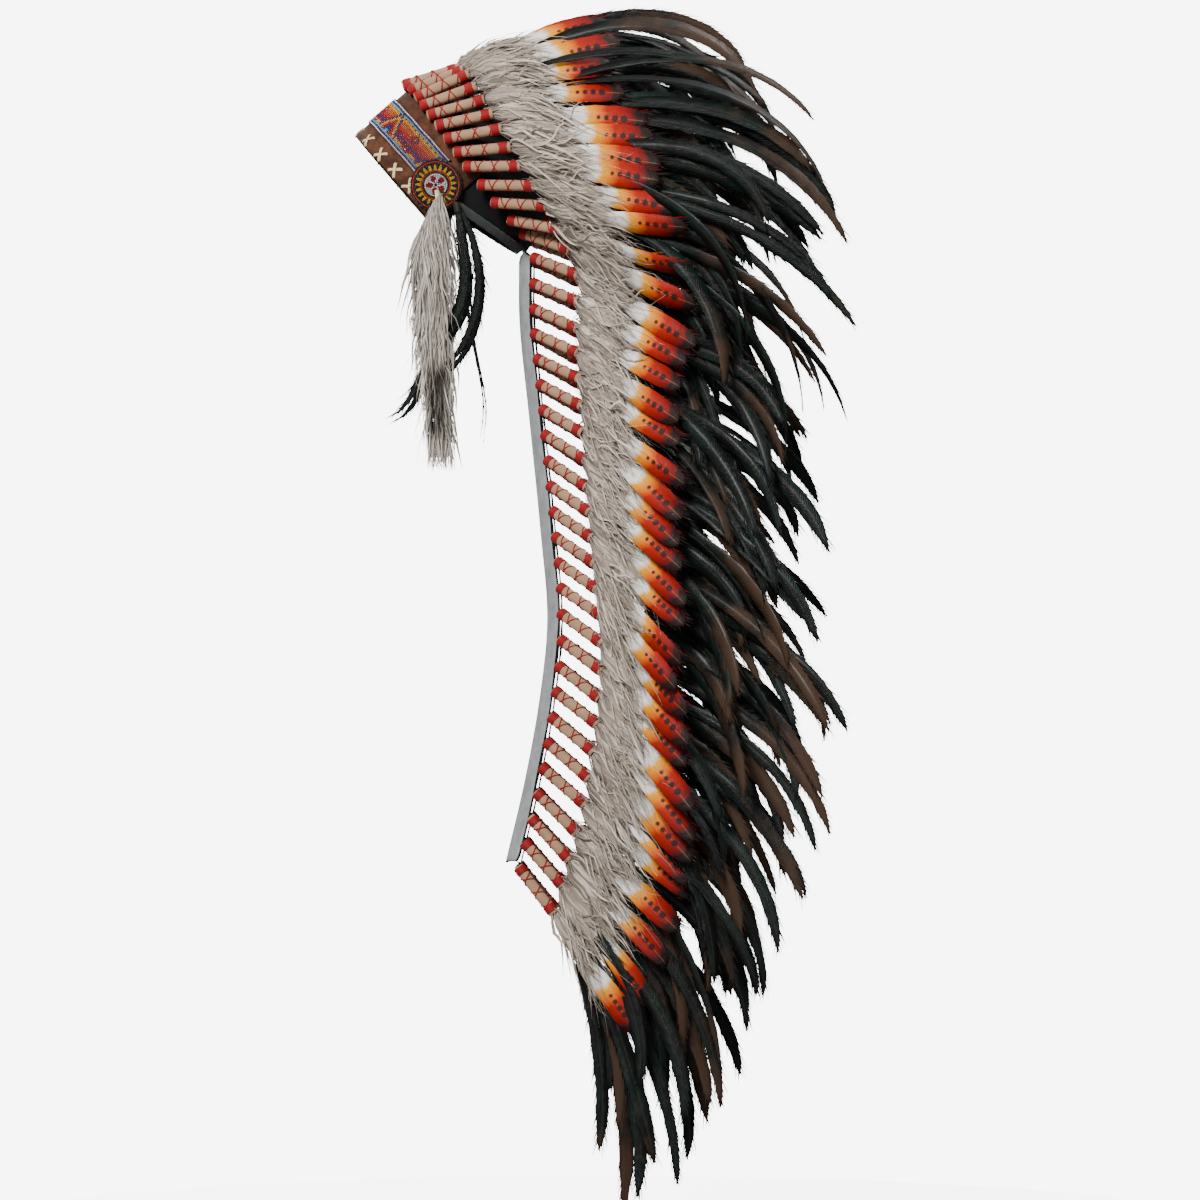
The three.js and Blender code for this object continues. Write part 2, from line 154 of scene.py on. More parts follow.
def rolled(face, way, degrees):
    # face turned about way
    a = np.radians(degrees)[..., None]
    way = unit(way)
    return face * np.cos(a) + np.cross(way, face) * np.sin(a) + way * (way * face).sum(-1, keepdims=True) * (
        1 - np.cos(a))


# Template shapes, made once by operators and laid out many times.
def tubeShape(sides, rings):
    bm = bmesh.new()
    bmesh.ops.create_cone(bm, cap_ends=True, segments=sides, radius1=1, radius2=1, depth=1)
    sideEdges = [e for e in bm.edges if abs(e.verts[0].co.z - e.verts[1].co.z) > 0.5]
    if rings > 2:
        bmesh.ops.subdivide_edges(bm, edges=sideEdges, cuts=rings - 2)
    return shapeOf(bm, rings)


def beadShape():
    bm = bmesh.new()
    bmesh.ops.create_icosphere(bm, subdivisions=1, radius=1)
    return shapeOf(bm, 2)


def shapeOf(bm, rings):
    bm.verts.index_update()
    co = np.array([v.co for v in bm.verts])
    faces = [[v.index for v in f.verts] for f in bm.faces]
    bm.free()
    ring = np.rint((co[:, 2] + 0.5) * (rings - 1)).astype(int)
    return dict(co=co, ring=np.clip(ring, 0, rings - 1), rings=rings,
                loops=np.concatenate(faces), sizes=np.array([len(f) for f in faces]))


def sweep(shape, spine, across, wide, thick, cup=0.0, square=1.0):
    # every copy's section is drawn along its own spine: (copies, rings, 3)
    copies, rings = spine.shape[:2]
    along = unit(np.gradient(spine, axis=1))
    if across.ndim == 2:
        across = np.repeat(across[:, None], rings, axis=1)
    up = unit(np.cross(along, across))
    across = np.cross(up, along)
    r = shape["ring"]
    c, s = shape["co"][:, 0], shape["co"][:, 1]
    c, s = (np.sign(v) * np.abs(v) ** square for v in (c, s))
    wide = np.broadcast_to(wide, (copies, rings))[:, r]
    thick = np.broadcast_to(thick, (copies, rings))[:, r]
    lift = thick * s - cup * wide * c**2
    return spine[:, r] + across[:, r] * (wide * c)[..., None] + up[:, r] * lift[..., None]


class Gather:
    # collects copies of template shapes and joins them into one piece

    def __init__(self, name):
        self.name = name
        self.chunks = []

    def add(self, shape, places, slot=0, tint=0.5, u=None, v=None, paint=None):
        copies, count = places.shape[:2]
        full = lambda value: np.broadcast_to(value, (copies, count)).reshape(-1)
        if u is None:
            u = shape["co"][:, 0] * 0.5 + 0.5
        if v is None:
            v = shape["ring"] / (shape["rings"] - 1)
        tint = np.asarray(tint, float)
        tint = tint[:, None] if tint.ndim == 1 else tint
        if paint is None:
            paint = np.zeros((copies, 3))
        paint = np.repeat(np.broadcast_to(paint, (copies, 3))[:, None], count, axis=1).reshape(-1, 3)
        first = (np.arange(copies) * count)[:, None]
        self.chunks.append(dict(
            co=places.reshape(-1, 3), loops=(shape["loops"][None] + first).reshape(-1),
            sizes=np.tile(shape["sizes"], copies), uv=np.stack([full(u), full(v)], -1),
            tint=full(tint), paint=paint, slot=slot))

    def make(self, materials, slotName, *nodes):
        offset, loops = 0, []
        for chunk in self.chunks:
            loops.append(chunk["loops"] + offset)
            offset += len(chunk["co"])
        join = lambda key: np.concatenate([chunk[key] for chunk in self.chunks])
        loops, sizes, uv = np.concatenate(loops), join("sizes"), join("uv")
        mesh = bpy.data.meshes.new(self.name)
        mesh.vertices.add(offset)
        mesh.vertices.foreach_set("co", (join("co") * mm).reshape(-1))
        mesh.loops.add(len(loops))
        mesh.loops.foreach_set("vertex_index", loops.astype(np.int32))
        mesh.polygons.add(len(sizes))
        starts = np.concatenate([[0], np.cumsum(sizes)[:-1]])
        mesh.polygons.foreach_set("loop_start", starts.astype(np.int32))
        mesh.polygons.foreach_set("loop_total", sizes.astype(np.int32))
        slots = np.concatenate([np.full(len(chunk["sizes"]), chunk["slot"]) for chunk in self.chunks])
        mesh.polygons.foreach_set("material_index", slots.astype(np.int32))
        mesh.polygons.foreach_set("use_smooth", np.full(len(sizes), True))
        mesh.uv_layers.new(name="along").data.foreach_set("uv", uv[loops].reshape(-1))
        mesh.attributes.new("tint", "FLOAT", "POINT").data.foreach_set("value", join("tint"))
        paint = np.concatenate([join("paint"), np.ones((offset, 1))], axis=1)
        mesh.attributes.new("paint", "FLOAT_COLOR", "POINT").data.foreach_set("color", paint.reshape(-1))
        mesh.update(calc_edges=True)
        for material in materials:
            mesh.materials.append(material)
        piece = bpy.data.objects.new(self.name, mesh)
        bpy.context.scene.collection.objects.link(piece)
        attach(piece, "root")
        if nodes:
            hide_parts(*nodes)
        mesh.calc_loop_triangles()
        print(self.name, len(mesh.loop_triangles), "triangles")
        return piece


# Shader maths: a wrapped socket takes part in Python expressions.
class Value:
    def __init__(self, tree, socket):
        self.tree, self.socket = tree, socket

    def maths(self, kind, *others):
        sockets = {i: v for i, v in enumerate((self, *others))}
        return self.tree.add("ShaderNodeMath", dict(operation=kind), sockets)

    def __add__(self, other): return self.maths("ADD", other)
    def __sub__(self, other): return self.maths("SUBTRACT", other)
    def __mul__(self, other): return self.maths("MULTIPLY", other)
    def __pow__(self, other): return self.maths("POWER", other)
    def __rsub__(self, other): return self * -1 + other
    __radd__, __rmul__ = __add__, __mul__

    def size(self): return self.maths("ABSOLUTE")
    def wave(self): return self.maths("SINE") * 0.5 + 0.5

    def within(self, low, high):
        # 0 below low, 1 above high, smooth between
        settings = dict(interpolation_type="SMOOTHSTEP")
        return self.tree.add("ShaderNodeMapRange", settings,
                             {"Value": self, "From Min": low, "From Max": high})


class Finish:
    # one material: its nodes are added by expressions and by add()

    def __init__(self, name, **constants):
        self.material = bpy.data.materials.new(name)
        self.material.use_nodes = True
        self.nodes = self.material.node_tree.nodes
        self.links = self.material.node_tree.links
        self.shader = self.nodes["Principled BSDF"]
        self.set(constants)
        self.space = self.add("ShaderNodeTexCoord", output="Object")
        self.u, self.v = self.numbers(self.add("ShaderNodeUVMap", dict(uv_map="along")))[:2]
        self.tint = self.add("ShaderNodeAttribute", dict(attribute_name="tint"), output="Fac")

    def add(self, kind, settings=None, sockets=None, output=0):
        node = self.nodes.new(kind)
        for key, value in (settings or {}).items():
            if key == "stops":
                ramp = node.color_ramp.elements
                while len(ramp) < len(value):
                    ramp.new(1)
                for stop, (place, colour) in zip(ramp, value):
                    stop.position, stop.color = place, (*colour, 1)
            else:
                setattr(node, key, value)
        for key, value in (sockets or {}).items():
            self.plug(node.inputs[key], value)
        return Value(self, node.outputs[output])

    def plug(self, socket, value):
        if isinstance(value, Value):
            self.links.new(value.socket, socket)
        elif hasattr(value, "__len__") and socket.type == "RGBA":
            socket.default_value = (*value, 1)
        else:
            socket.default_value = value

    def set(self, values):
        for key, value in values.items():
            self.plug(self.shader.inputs[key.replace("_", " ")], value)
        return self.material

    def numbers(self, place):
        # the three numbers of a place
        split = self.add("ShaderNodeSeparateXYZ", {}, {0: place}).socket.node
        return [Value(self, output) for output in split.outputs]

    def noise(self, scale, detail=3, where=None, rough=0.6):
        return self.add("ShaderNodeTexNoise", {}, {
            "Vector": where or self.space, "Scale": scale, "Detail": detail, "Roughness": rough})

    def grid(self, u, v):
        # a place on the piece's own surface, stretched by u across and v along
        return self.add("ShaderNodeCombineXYZ", {}, {"X": self.u * u, "Y": self.v * v, "Z": self.tint * 37})

    def mix(self, share, a, b):
        return self.add("ShaderNodeMix", dict(data_type="RGBA", clamp_factor=True), {0: share, 6: a, 7: b}, 2)

    def ramp(self, share, *stops):
        return self.add("ShaderNodeValToRGB", dict(stops=stops), {0: share})

    def bump(self, height, depth=0.5, distance=0.0005):
        return self.add("ShaderNodeBump", {}, {"Height": height, "Strength": depth, "Distance": distance})


def feltFinish(name, colour, light, lint=0.5, sheen=0.25):
    # matted fibres: fine fuzz over broader clouding, with pale lint
    felt = Finish(name, Sheen_Weight=sheen, Sheen_Roughness=0.6, Specular_IOR_Level=0.12)
    fibres = felt.noise(900, 4)
    clouds = felt.noise(70, 3)
    base = felt.mix(clouds * 0.8 + fibres * 0.5 - 0.25, colour, light)
    specks = felt.noise(1600, 2).within(0.66, 0.74) * lint
    base = felt.mix(specks, base, [min(1, c * 1.8 + 0.03) for c in light])
    return felt.set(dict(Base_Color=base, Roughness=0.86 + fibres * 0.12,
                         Normal=felt.bump(fibres + clouds * 0.6, 0.6, 0.0006)))


def suedeFinish():
    # brushed nap in soft streaks, darker where it is rubbed flat
    suede = Finish("suede", Sheen_Weight=0.12, Sheen_Roughness=0.5, Specular_IOR_Level=0.15)
    nap = suede.noise(1300, 4)
    rubbed = suede.noise(60, 5, rough=0.7)
    pores = suede.noise(420, 3)
    base = suede.mix(rubbed.within(0.35, 0.68), (0.030, 0.0095, 0.0038), (0.085, 0.030, 0.012))
    base = suede.mix(pores.within(0.55, 0.7) * 0.45, base, (0.014, 0.005, 0.0025))
    return suede.set(dict(Base_Color=base, Roughness=0.72 + nap * 0.2,
                          Normal=suede.bump(nap * 0.5 + pores, 0.5, 0.0005)))


def threadFinish(name, colour, dark, turns):
    # wound thread: rounded turns, with painted shade darkening the groove between each two turns
    thread = Finish(name, Specular_IOR_Level=0.3)
    turn = (thread.v * (turns * 6.2832)).wave()
    fibre = thread.noise(2200, 2)
    # the dark colour is painted shade, deepest in the groove between turns
    base = thread.mix(turn.within(0.05, 0.5), dark, colour)
    base = thread.mix(fibre.within(0.5, 0.75) * 0.35, base, [min(1, c * 1.25 + 0.03) for c in colour])
    return thread.set(dict(Base_Color=base, Roughness=0.5 + fibre * 0.25,
                           Normal=thread.bump(turn + fibre * 0.3, 0.7, 0.0004)))


def beadFinish():
    # opaque glass; every bead carries its own colour
    glass = Finish("glassBeads", Coat_Weight=0.25, Coat_Roughness=0.1, Specular_IOR_Level=0.35)
    paint = glass.add("ShaderNodeAttribute", dict(attribute_name="paint"))
    cloud = glass.noise(500, 2)
    shade = glass.mix(glass.tint * 0.35 + cloud * 0.15, paint, (0.02, 0.015, 0.02))
    return glass.set(dict(Base_Color=shade, Roughness=0.16 + cloud * 0.12))


def furFinish(name, root, middle, tip, paleHairAndHighlight, core=None):
    # every lock reads as many fine hairs lying along it, with painted shade at the root and pale tips that are
    # partly own tone, partly painted highlight
    fur = Finish(name, Specular_IOR_Level=0.3, Sheen_Weight=0.08, Sheen_Roughness=0.4)
    hairs = fur.noise(1, 3, fur.grid(9, 1.3), 0.7)
    fine = fur.noise(1, 2, fur.grid(26, 2.5), 0.6)
    # the root colour is painted shade; the pale tip colour also carries painted highlight
    base = fur.ramp(fur.v * 0.6 + fur.tint * 0.65 - 0.16, (0, root), (0.42, middle), (1, tip))
    # pale streaks: partly lighter hairs, partly painted highlight
    base = fur.mix(hairs.within(0.42, 0.66) * 0.6, base, paleHairAndHighlight)
    # fine dark lines of painted shade between the hairs
    base = fur.mix(fine.within(0.52, 0.70) * 0.6, base, [c * 0.42 for c in root])
    if core:
        # near-black in a narrow band down the middle of the tail, from 160 to 258 mm down, stronger on some
        # locks
        across, height = fur.numbers(fur.space)[1:]
        middle = (across - 0.001).size().within(0.011, 0.005)
        dark = height.within(-0.160, -0.190) * height.within(-0.258, -0.240) * (0.5 + fur.tint * 0.6) * middle
        base = fur.mix(dark, base, core)
    return fur.set(dict(Base_Color=base, Roughness=0.7 + hairs * 0.25,
                        Normal=fur.bump(hairs + fine * 0.7, 0.8, 0.0006)))


def barbLines(feather, count, slant):
    # the fine slanting lines of a vane's barbs, to both sides of its shaft
    side = (feather.u - 0.5).size()
    loose = feather.noise(1, 2, feather.grid(3, 30))
    return ((feather.v * count + side * slant + loose * 3) * 6.2832).wave(), side


def paintedFinish():
    # white down, then yellow-orange, red and a black tip, with a row of dots that grow along the shaft
    vane = Finish("paintedFeather", Specular_IOR_Level=0.15)
    lines, side = barbLines(vane, 60, 5)
    ragged = vane.v + (vane.noise(1, 3, vane.grid(7, 5)) - 0.5) * 0.11 + side * 0.10
    base = vane.ramp(ragged, (0, (0.56, 0.52, 0.48)), (0.36, (0.80, 0.78, 0.74)), (0.43, (0.72, 0.31, 0.004)),
                     (0.54, (0.60, 0.11, 0.001)), (0.62, (0.31, 0.010, 0.001)), (0.80, (0.19, 0.002, 0.002)),
                     (0.875, (0.08, 0.003, 0.003)), (0.905, (0.006, 0.005, 0.005)))
    shaft = 1 - side.within(0.012, 0.03)
    base = vane.mix(shaft * 0.3, base, (0.35, 0.16, 0.06))
    for place, size in ((0.525, 0.027), (0.605, 0.034), (0.69, 0.041), (0.78, 0.047)):
        away = (vane.v - place + vane.tint * 0.02) ** 2 + ((vane.u - 0.5) * 0.26) ** 2
        dot = 1 - (away ** 0.5).within(size * 0.5, size)
        base = vane.mix(dot * 0.95, base, (0.010, 0.005, 0.005))
    base = vane.mix(lines.within(0.0, 0.35) * -0.28 + 0.28, base, (0.10, 0.02, 0.01))
    return vane.set(dict(Base_Color=base, Roughness=0.5 + lines * 0.15,
                         Normal=vane.bump(lines, 0.5, 0.0004)))


def plumeFinish(name, brownShare):
    # glossy black with painted green and teal sheen along the barbs, and brown on some tips and edges
    vane = Finish(name, Specular_IOR_Level=0.11, Coat_Roughness=0.26)
    lines, side = barbLines(vane, 70, 7)
    # where green sheen is painted on; the same mask also raises the real coat
    sheen = vane.noise(1, 3, vane.grid(2.2, 3.5)).within(0.38, 0.72)
    blotch = vane.noise(28, 3)
    black = vane.mix(blotch.within(0.4, 0.7), (0.0018, 0.0022, 0.0022), (0.0045, 0.004, 0.0035))
    base = vane.mix(sheen * 0.7, black, (0.0028, 0.013, 0.009))
    # painted teal sheen
    base = vane.mix(vane.noise(1, 2, vane.grid(1.5, 6)).within(0.62, 0.8) * 0.5, base, (0.0025, 0.009, 0.017))
    brown = vane.tint * 0.8 + (blotch - 0.5) * 0.6 + vane.v * 0.55
    brown = brown.within(1.33 - brownShare, 1.63 - brownShare)
    base = vane.mix(brown * 0.85, base, (0.046, 0.024, 0.014))
    shaft = 1 - side.within(0.02, 0.05)
    base = vane.mix(shaft * 0.4, base, (0.030, 0.020, 0.014))
    return vane.set(dict(Base_Color=base, Roughness=0.36 + lines * 0.2 + brown * 0.2,
                         Coat_Weight=0.015 + sheen * 0.10, Normal=vane.bump(lines, 0.6, 0.0005)))


def leatherFinish(name, colour, dark):
    leather = Finish(name, Specular_IOR_Level=0.4)
    grain = leather.add("ShaderNodeTexVoronoi", {}, {"Vector": leather.space, "Scale": 1400})
    wear = leather.noise(240, 4)
    base = leather.mix(wear.within(0.4, 0.72), colour, dark)
    return leather.set(dict(Base_Color=base, Roughness=0.55 + wear * 0.2,
                            Normal=leather.bump(grain + wear, 0.4, 0.0003)))


finishes = dict(
    capFelt=feltFinish("capFelt", (0.003, 0.003, 0.003), (0.009, 0.009, 0.0095), 0.18, 0.03),
    hemFelt=feltFinish("hemFelt", (0.012, 0.013, 0.014), (0.060, 0.063, 0.067), 0.5, 0.1),
    stripFelt=feltFinish("stripFelt", (0.10, 0.107, 0.109), (0.40, 0.415, 0.42), 0.45, 0.1),
    wrapFelt=feltFinish("wrapFelt", (0.22, 0.122, 0.068), (0.40, 0.245, 0.150), 0.3, 0.12),
    # each thread's second colour is its painted shade in the grooves between turns
    redThread=threadFinish("redThread", (0.31, 0.002, 0.004), (0.09, 0.001, 0.002), 9),
    laceThread=threadFinish("laceThread", (0.27, 0.001, 0.002), (0.15, 0.001, 0.002), 30),
    darkThread=threadFinish("edgeThread", (0.055, 0.004, 0.008), (0.007, 0.002, 0.003), 110),
    knotThread=threadFinish("knotThread", (0.020, 0.011, 0.008), (0.003, 0.002, 0.002), 8),
    suede=suedeFinish(),
    beads=beadFinish(),
    # fur colours run from painted shade at the root to pale tips and streaks with painted highlight
    fur=furFinish("fur", (0.060, 0.042, 0.031), (0.30, 0.235, 0.180), (0.88, 0.77, 0.65), (0.82, 0.71, 0.60)),
    tailFur=furFinish("tailFur", (0.10, 0.078, 0.060), (0.42, 0.36, 0.30), (0.88, 0.81, 0.72),
                      (0.82, 0.76, 0.68), core=(0.018, 0.011, 0.007)),
    painted=paintedFinish(),
    plume=plumeFinish("plume", 0.46),
    dropPlume=plumeFinish("dropPlume", 0.30),
    lace=leatherFinish("lace", (0.62, 0.48, 0.25), (0.44, 0.31, 0.15)),
)
print("finishes made")


def partWay(spine, share):
    # places and ways part way along each spine; share is (copies, n)
    at = np.clip(share, 0, 1) * (spine.shape[1] - 1)
    low = np.minimum(at.astype(int), spine.shape[1] - 2)
    copy = np.arange(len(spine))[:, None]
    a, b = spine[copy, low], spine[copy, low + 1]
    return a + (b - a) * (at - low)[..., None], unit(b - a)


def flat(values):
    # (copies, n, ...) to (copies * n, ...)
    return values.reshape(-1, *values.shape[2:])


vaneRings, shaftRings = 20, 8
vaneStops = np.linspace(0, 1, vaneRings)
longestBarb = 24
leafShape, rodShape, barbShape = tubeShape(6, vaneRings), tubeShape(3, shaftRings), tubeShape(3, 2)


def addFeather(gather, spine, across, profile, tint, fringe):
    # a vane with a shaft, and loose barbs that break up both edges; profile holds its half widths
    copies = len(spine)
    vane = sweep(leafShape, spine, across, profile * fringe["vane"], fringe["thick"], fringe["cup"])
    gather.add(leafShape, vane, tint=tint)
    share = np.linspace(0, 0.97, shaftRings)
    place, way = partWay(spine, np.broadcast_to(share, (copies, shaftRings)))
    up = unit(np.cross(way, across[:, None]))
    shaft = np.linspace(fringe["shaft"], 0.15, shaftRings)
    rod = sweep(rodShape, place + up * fringe["thick"], across, shaft, shaft)
    gather.add(rodShape, rod, tint=tint, u=0.5)
    count = fringe["barbs"]
    for edge in (-1, 1):
        share = np.linspace(fringe["from"], 0.985, count) + rng.normal(0, 0.006, (copies, count))
        place, way = partWay(spine, share)
        up = unit(np.cross(way, across[:, None]))
        out = np.cross(up, way) * edge
        half = np.stack([np.interp(s, vaneStops, p) for s, p in zip(share, profile)])
        lean = rng.normal(fringe["lean"], fringe["loose"], (copies, count)) * (1.15 - 0.5 * share)
        lean = np.radians(lean)[..., None]
        stray = rng.exponential(fringe["stray"], (copies, count))
        stray = stray * np.where(rng.uniform(0, 1, (copies, count)) < 0.1, 4, 1)  # one in ten stands well out
        reach = (half * fringe["over"] + stray * (1.1 - 0.6 * share))[..., None]
        start = place + out * half[..., None] * 0.45
        course = unit(way * np.cos(lean) + out * np.sin(lean))
        run = np.minimum(reach / np.sin(lean).clip(0.17), longestBarb)
        tip = start + course * run + up * rng.normal(0, 0.5, reach.shape)
        lines = flat(np.stack([start, tip], axis=2))
        wide = rng.uniform(0.7, 1.25, (copies * count, 1)) * fringe["wide"] * np.array([1, 0.06])
        gather.add(barbShape, sweep(barbShape, lines, flat(out), wide, wide * 0.22 + 0.05),
                   tint=np.repeat(tint, count), u=0.5 + 0.35 * edge, v=share.reshape(-1, 1))


# Long glossy plumes: four from each bound feather, drooping as they go.
plumes = dict(along=8, hidden=0.16, outs=[-3, -8, -12, -17], ends=[1.02, 0.92, 0.8, 0.68],
              halfWidths=[10.8, 9.8, 8.8, 10.6], spread=[0, 6, -6, 2], droop=(1.1, 2.3), extraFall=-14,
              steepest=-97, flare=0.92, gather=0.5, sway=[6, 11, 2.4], roll=19, over=0.13, overOut=5,
              lengths=(0.80, 1.02), widths=(0.74, 1.12), raggedness=(0.82, 1.08))
plumeFringe = {"vane": 0.88, "thick": 0.4, "cup": 0.12, "shaft": 0.6, "barbs": 34, "from": 0.1, "lean": 19,
               "loose": 5, "over": 0.62, "stray": 0.75, "wide": 0.85}
plumeTaper = np.interp(vaneStops, [0, 0.1, 0.25, 0.45, 0.7, 0.86, 0.95, 1],
                       [0.5, 0.76, 0.94, 1, 0.97, 0.80, 0.5, 0.05])


def addPlumes(gather, rows):
    count = len(rows["station"])
    share = np.linspace(plumes["hidden"], 1, vaneRings)
    for out, end, half, spread in zip(*(plumes[k] for k in ("outs", "ends", "halfWidths", "spread"))):
        sway = rng.normal(0, 1, (3, count)) * np.array(plumes["sway"])[:, None]
        rise = column("rise", rows["station"]) + sway[0] + spread
        fall = column("fall", rows["station"]) + sway[1] + spread * 0.6 + plumes["extraFall"]
        fall = np.maximum(fall, plumes["steepest"])
        flare = rows["flare"] * plumes["flare"] + sway[2] + spread * 0.25
        pitch = rise[:, None] + (fall - rise)[:, None] * share**rng.uniform(*plumes["droop"], (count, 1))
        step = aim(rows["side"], pitch, flare[:, None] * (1 - plumes["gather"] * share))
        reach = column("reach", rows["station"]) * end * rng.uniform(*plumes["lengths"], count)
        # a few lie over the painted ones
        out = np.where(rng.uniform(0, 1, count) < plumes["over"], plumes["overOut"], out)[:, None]
        start = rows["end"] + rows["quill"] * plumes["along"] + rows["face"] * out
        start = start + step[:, 0] * (reach * plumes["hidden"])[:, None]
        pace = reach * (1 - plumes["hidden"]) / (vaneRings - 1)
        spine = start[:, None] + np.cumsum(step, axis=1) * pace[:, None, None]
        face = rolled(rows["face"], rows["quill"], column("turn", rows["station"]) * rows["side"]
                      + rng.normal(0, plumes["roll"], count))
        across = unit(np.cross(rows["quill"], face))
        wide = half * rng.uniform(*plumes["widths"], (count, 1)) * plumeTaper
        wide = wide * rng.uniform(*plumes["raggedness"], (count, vaneRings))
        addFeather(gather, spine, across, wide, rng.uniform(0, 1, count), plumeFringe)


# Painted feathers: one at each bound feather, over the plumes.
painted = dict(along=50, length=99, bow=5, slip=6, veer=5, lift=2, roll=9, lengths=(0.95, 1.03),
               widths=(0.9, 1.06), raggedness=(0.97, 1.03))
paintedFringe = {"vane": 1.0, "thick": 0.5, "cup": 0.16, "shaft": 0.6, "barbs": 24, "from": 0.03, "lean": 24,
                 "loose": 5, "over": 0.42, "stray": 0.4, "wide": 1.1}
paintedTaper = np.interp(vaneStops, [0, 0.15, 0.35, 0.55, 0.75, 0.88, 0.95, 1],
                         [4.0, 8.5, 12, 13.8, 13.6, 11.8, 8.8, 2.5])


def addPainted(gather, rows):
    count = len(rows["station"])
    share = vaneStops[None, :, None]
    turn = column("turn", rows["station"]) * rows["side"]
    face = rolled(rows["face"], rows["quill"], turn + rng.normal(0, painted["roll"], count))
    across = unit(np.cross(rows["quill"], face))
    length = painted["length"] * rng.uniform(*painted["lengths"], (count, 1, 1))
    stray = rng.normal(0, painted["veer"], (count, 1, 1))
    along = painted["along"] + rng.uniform(-1, 1, (count, 1)) * painted["slip"]
    lift = rows["face"] * rng.uniform(-1, 1, (count, 1)) * painted["lift"]
    start = rows["end"] + rows["quill"] * along + lift
    spine = (start[:, None] + rows["quill"][:, None] * share * length + rows["run"][:, None] * stray * share
             + face[:, None] * np.sin(share * np.pi) * painted["bow"])
    wide = paintedTaper * rng.uniform(*painted["widths"], (count, 1))
    wide = wide * rng.uniform(*painted["raggedness"], (count, vaneRings))
    addFeather(gather, spine, across, wide, rng.uniform(0, 1, count), paintedFringe)


# Fluff: a soft core at each feather, tinted darker as painted shade, under layers of wavy locks and single
# wisps.
fluff = dict(locks=52, wisps=62, length=72, lift=[5, 14, 13, 8, 3], sag=0.14, start=-0.17, spill=0.35,
             veer=0.27, coreRings=9, narrowest=9, widest=19)
lockShape, wispShape, coreShape = tubeShape(4, 7), tubeShape(3, 6), tubeShape(8, fluff["coreRings"])
lockTaper = np.array([0.4, 0.9, 1, 0.9, 0.7, 0.4, 0.03])
wispTaper = np.array([0.8, 1, 0.9, 0.7, 0.45, 0.05])


def wavyLines(start, way, side, up, length, swing, rings):
    # lines that leave start along way and swing to the side, each in its own rhythm
    share = np.linspace(0, 1, rings)[None, :, None]
    count = len(start)
    phase, turns = rng.uniform(0, 6.28, (count, 1, 1)), rng.uniform(0.55, 1.3, (count, 1, 1))
    swingAt = np.sin(phase + share * turns * 6.28) - np.sin(phase)
    liftAt = np.sin(phase * 1.7 + share * turns * 5) - np.sin(phase * 1.7)
    length, swing = length[:, None, None], swing[:, None, None]
    return (start[:, None] + way[:, None] * length * share + side[:, None] * swing * swingAt
            + up[:, None] * swing * 0.45 * liftAt - np.array([0, 0, 1.0]) * length * fluff["sag"] * share**2)


def addFluff(gather, rows):
    count = len(rows["station"])
    share = np.linspace(0, 1, fluff["coreRings"])
    lift = np.interp(share, np.linspace(0, 1, 5), fluff["lift"])
    spine = (rows["end"][:, None] + rows["quill"][:, None] * (2 + fluff["length"] * share)[None, :, None]
             + rows["face"][:, None] * (lift - 5)[None, :, None] * 0.5)
    swell = np.interp(share, [0, 0.12, 0.6, 1], [0.55, 0.9, 1, 0.3])
    swell = swell * rng.uniform(0.85, 1.1, (count, fluff["coreRings"]))
    # half the way to the next feather, at the wraps' ends and at the far side of the fluff
    ahead, behind = (rowPlaces(rows["station"] + step, rows["side"]) for step in (0.5, -0.5))
    reach = [np.linalg.norm(ahead["end"] - behind["end"] + (ahead["quill"] - behind["quill"]) * a, axis=1)
             for a in (0, 70)]
    near, far = (np.clip(r * 0.56, fluff["narrowest"], fluff["widest"]) for r in reach)
    half = near[:, None] * (1 - share) + far[:, None] * share
    # the core's low tint paints it darker than the locks: painted shade deep in the fluff
    gather.add(coreShape, sweep(coreShape, spine, rows["run"], half * 0.95 * swell, (lift + 4) * 0.45),
               0, rng.uniform(0.1, 0.4, count))
    for number, shape, taper, lengths, widths, furthest, swing in (
            (fluff["locks"], lockShape, lockTaper, (30, 64), (0.6, 2.1), 46, 5.6),
            (fluff["wisps"], wispShape, wispTaper, (28, 72), (0.24, 0.55), 64, 6.5)):
        total = count * number
        pick = lambda key: np.repeat(rows[key], number, axis=0)
        along = furthest * rng.uniform(fluff["start"], 1, total)
        turn = rng.uniform(-fluff["spill"], np.pi + fluff["spill"], total)
        cos, sin = np.cos(turn)[:, None], np.sin(turn)[:, None]
        height = np.interp(along, np.linspace(0, fluff["length"], 5), fluff["lift"])[:, None]
        part = along / 70
        half = ((1 - part) * np.repeat(near, number) + part * np.repeat(far, number))[:, None]
        half = half * np.interp(along, [-3, 8], [0.5, 0.95])[:, None]
        start = (pick("end") + pick("quill") * along[:, None] + pick("run") * cos * half
                 + pick("face") * (sin * height * 0.85 - 1))
        veer = rng.normal(0, fluff["veer"], (total, 1)) + cos * 0.1
        raised = np.interp(along, [0, 20, fluff["length"]], [0.22, 0.02, -0.12])[:, None] * sin
        rise = rng.normal(0.02, 0.1, (total, 1)) + raised
        way = unit(pick("quill") + pick("run") * veer + pick("face") * rise)
        side = unit(pick("run") * sin - pick("face") * cos * 0.6)
        up = unit(pick("face") * sin.clip(0.2) + pick("run") * cos * 0.5)
        lines = wavyLines(start, way, side, up, rng.uniform(*lengths, total),
                          rng.uniform(0.4, 1.3, total) * swing, shape["rings"])
        wide = rng.uniform(*widths, (total, 1)) * taper
        gather.add(shape, sweep(shape, lines, side, wide, wide * 0.45 + 0.05), 0, rng.uniform(0, 1, total))


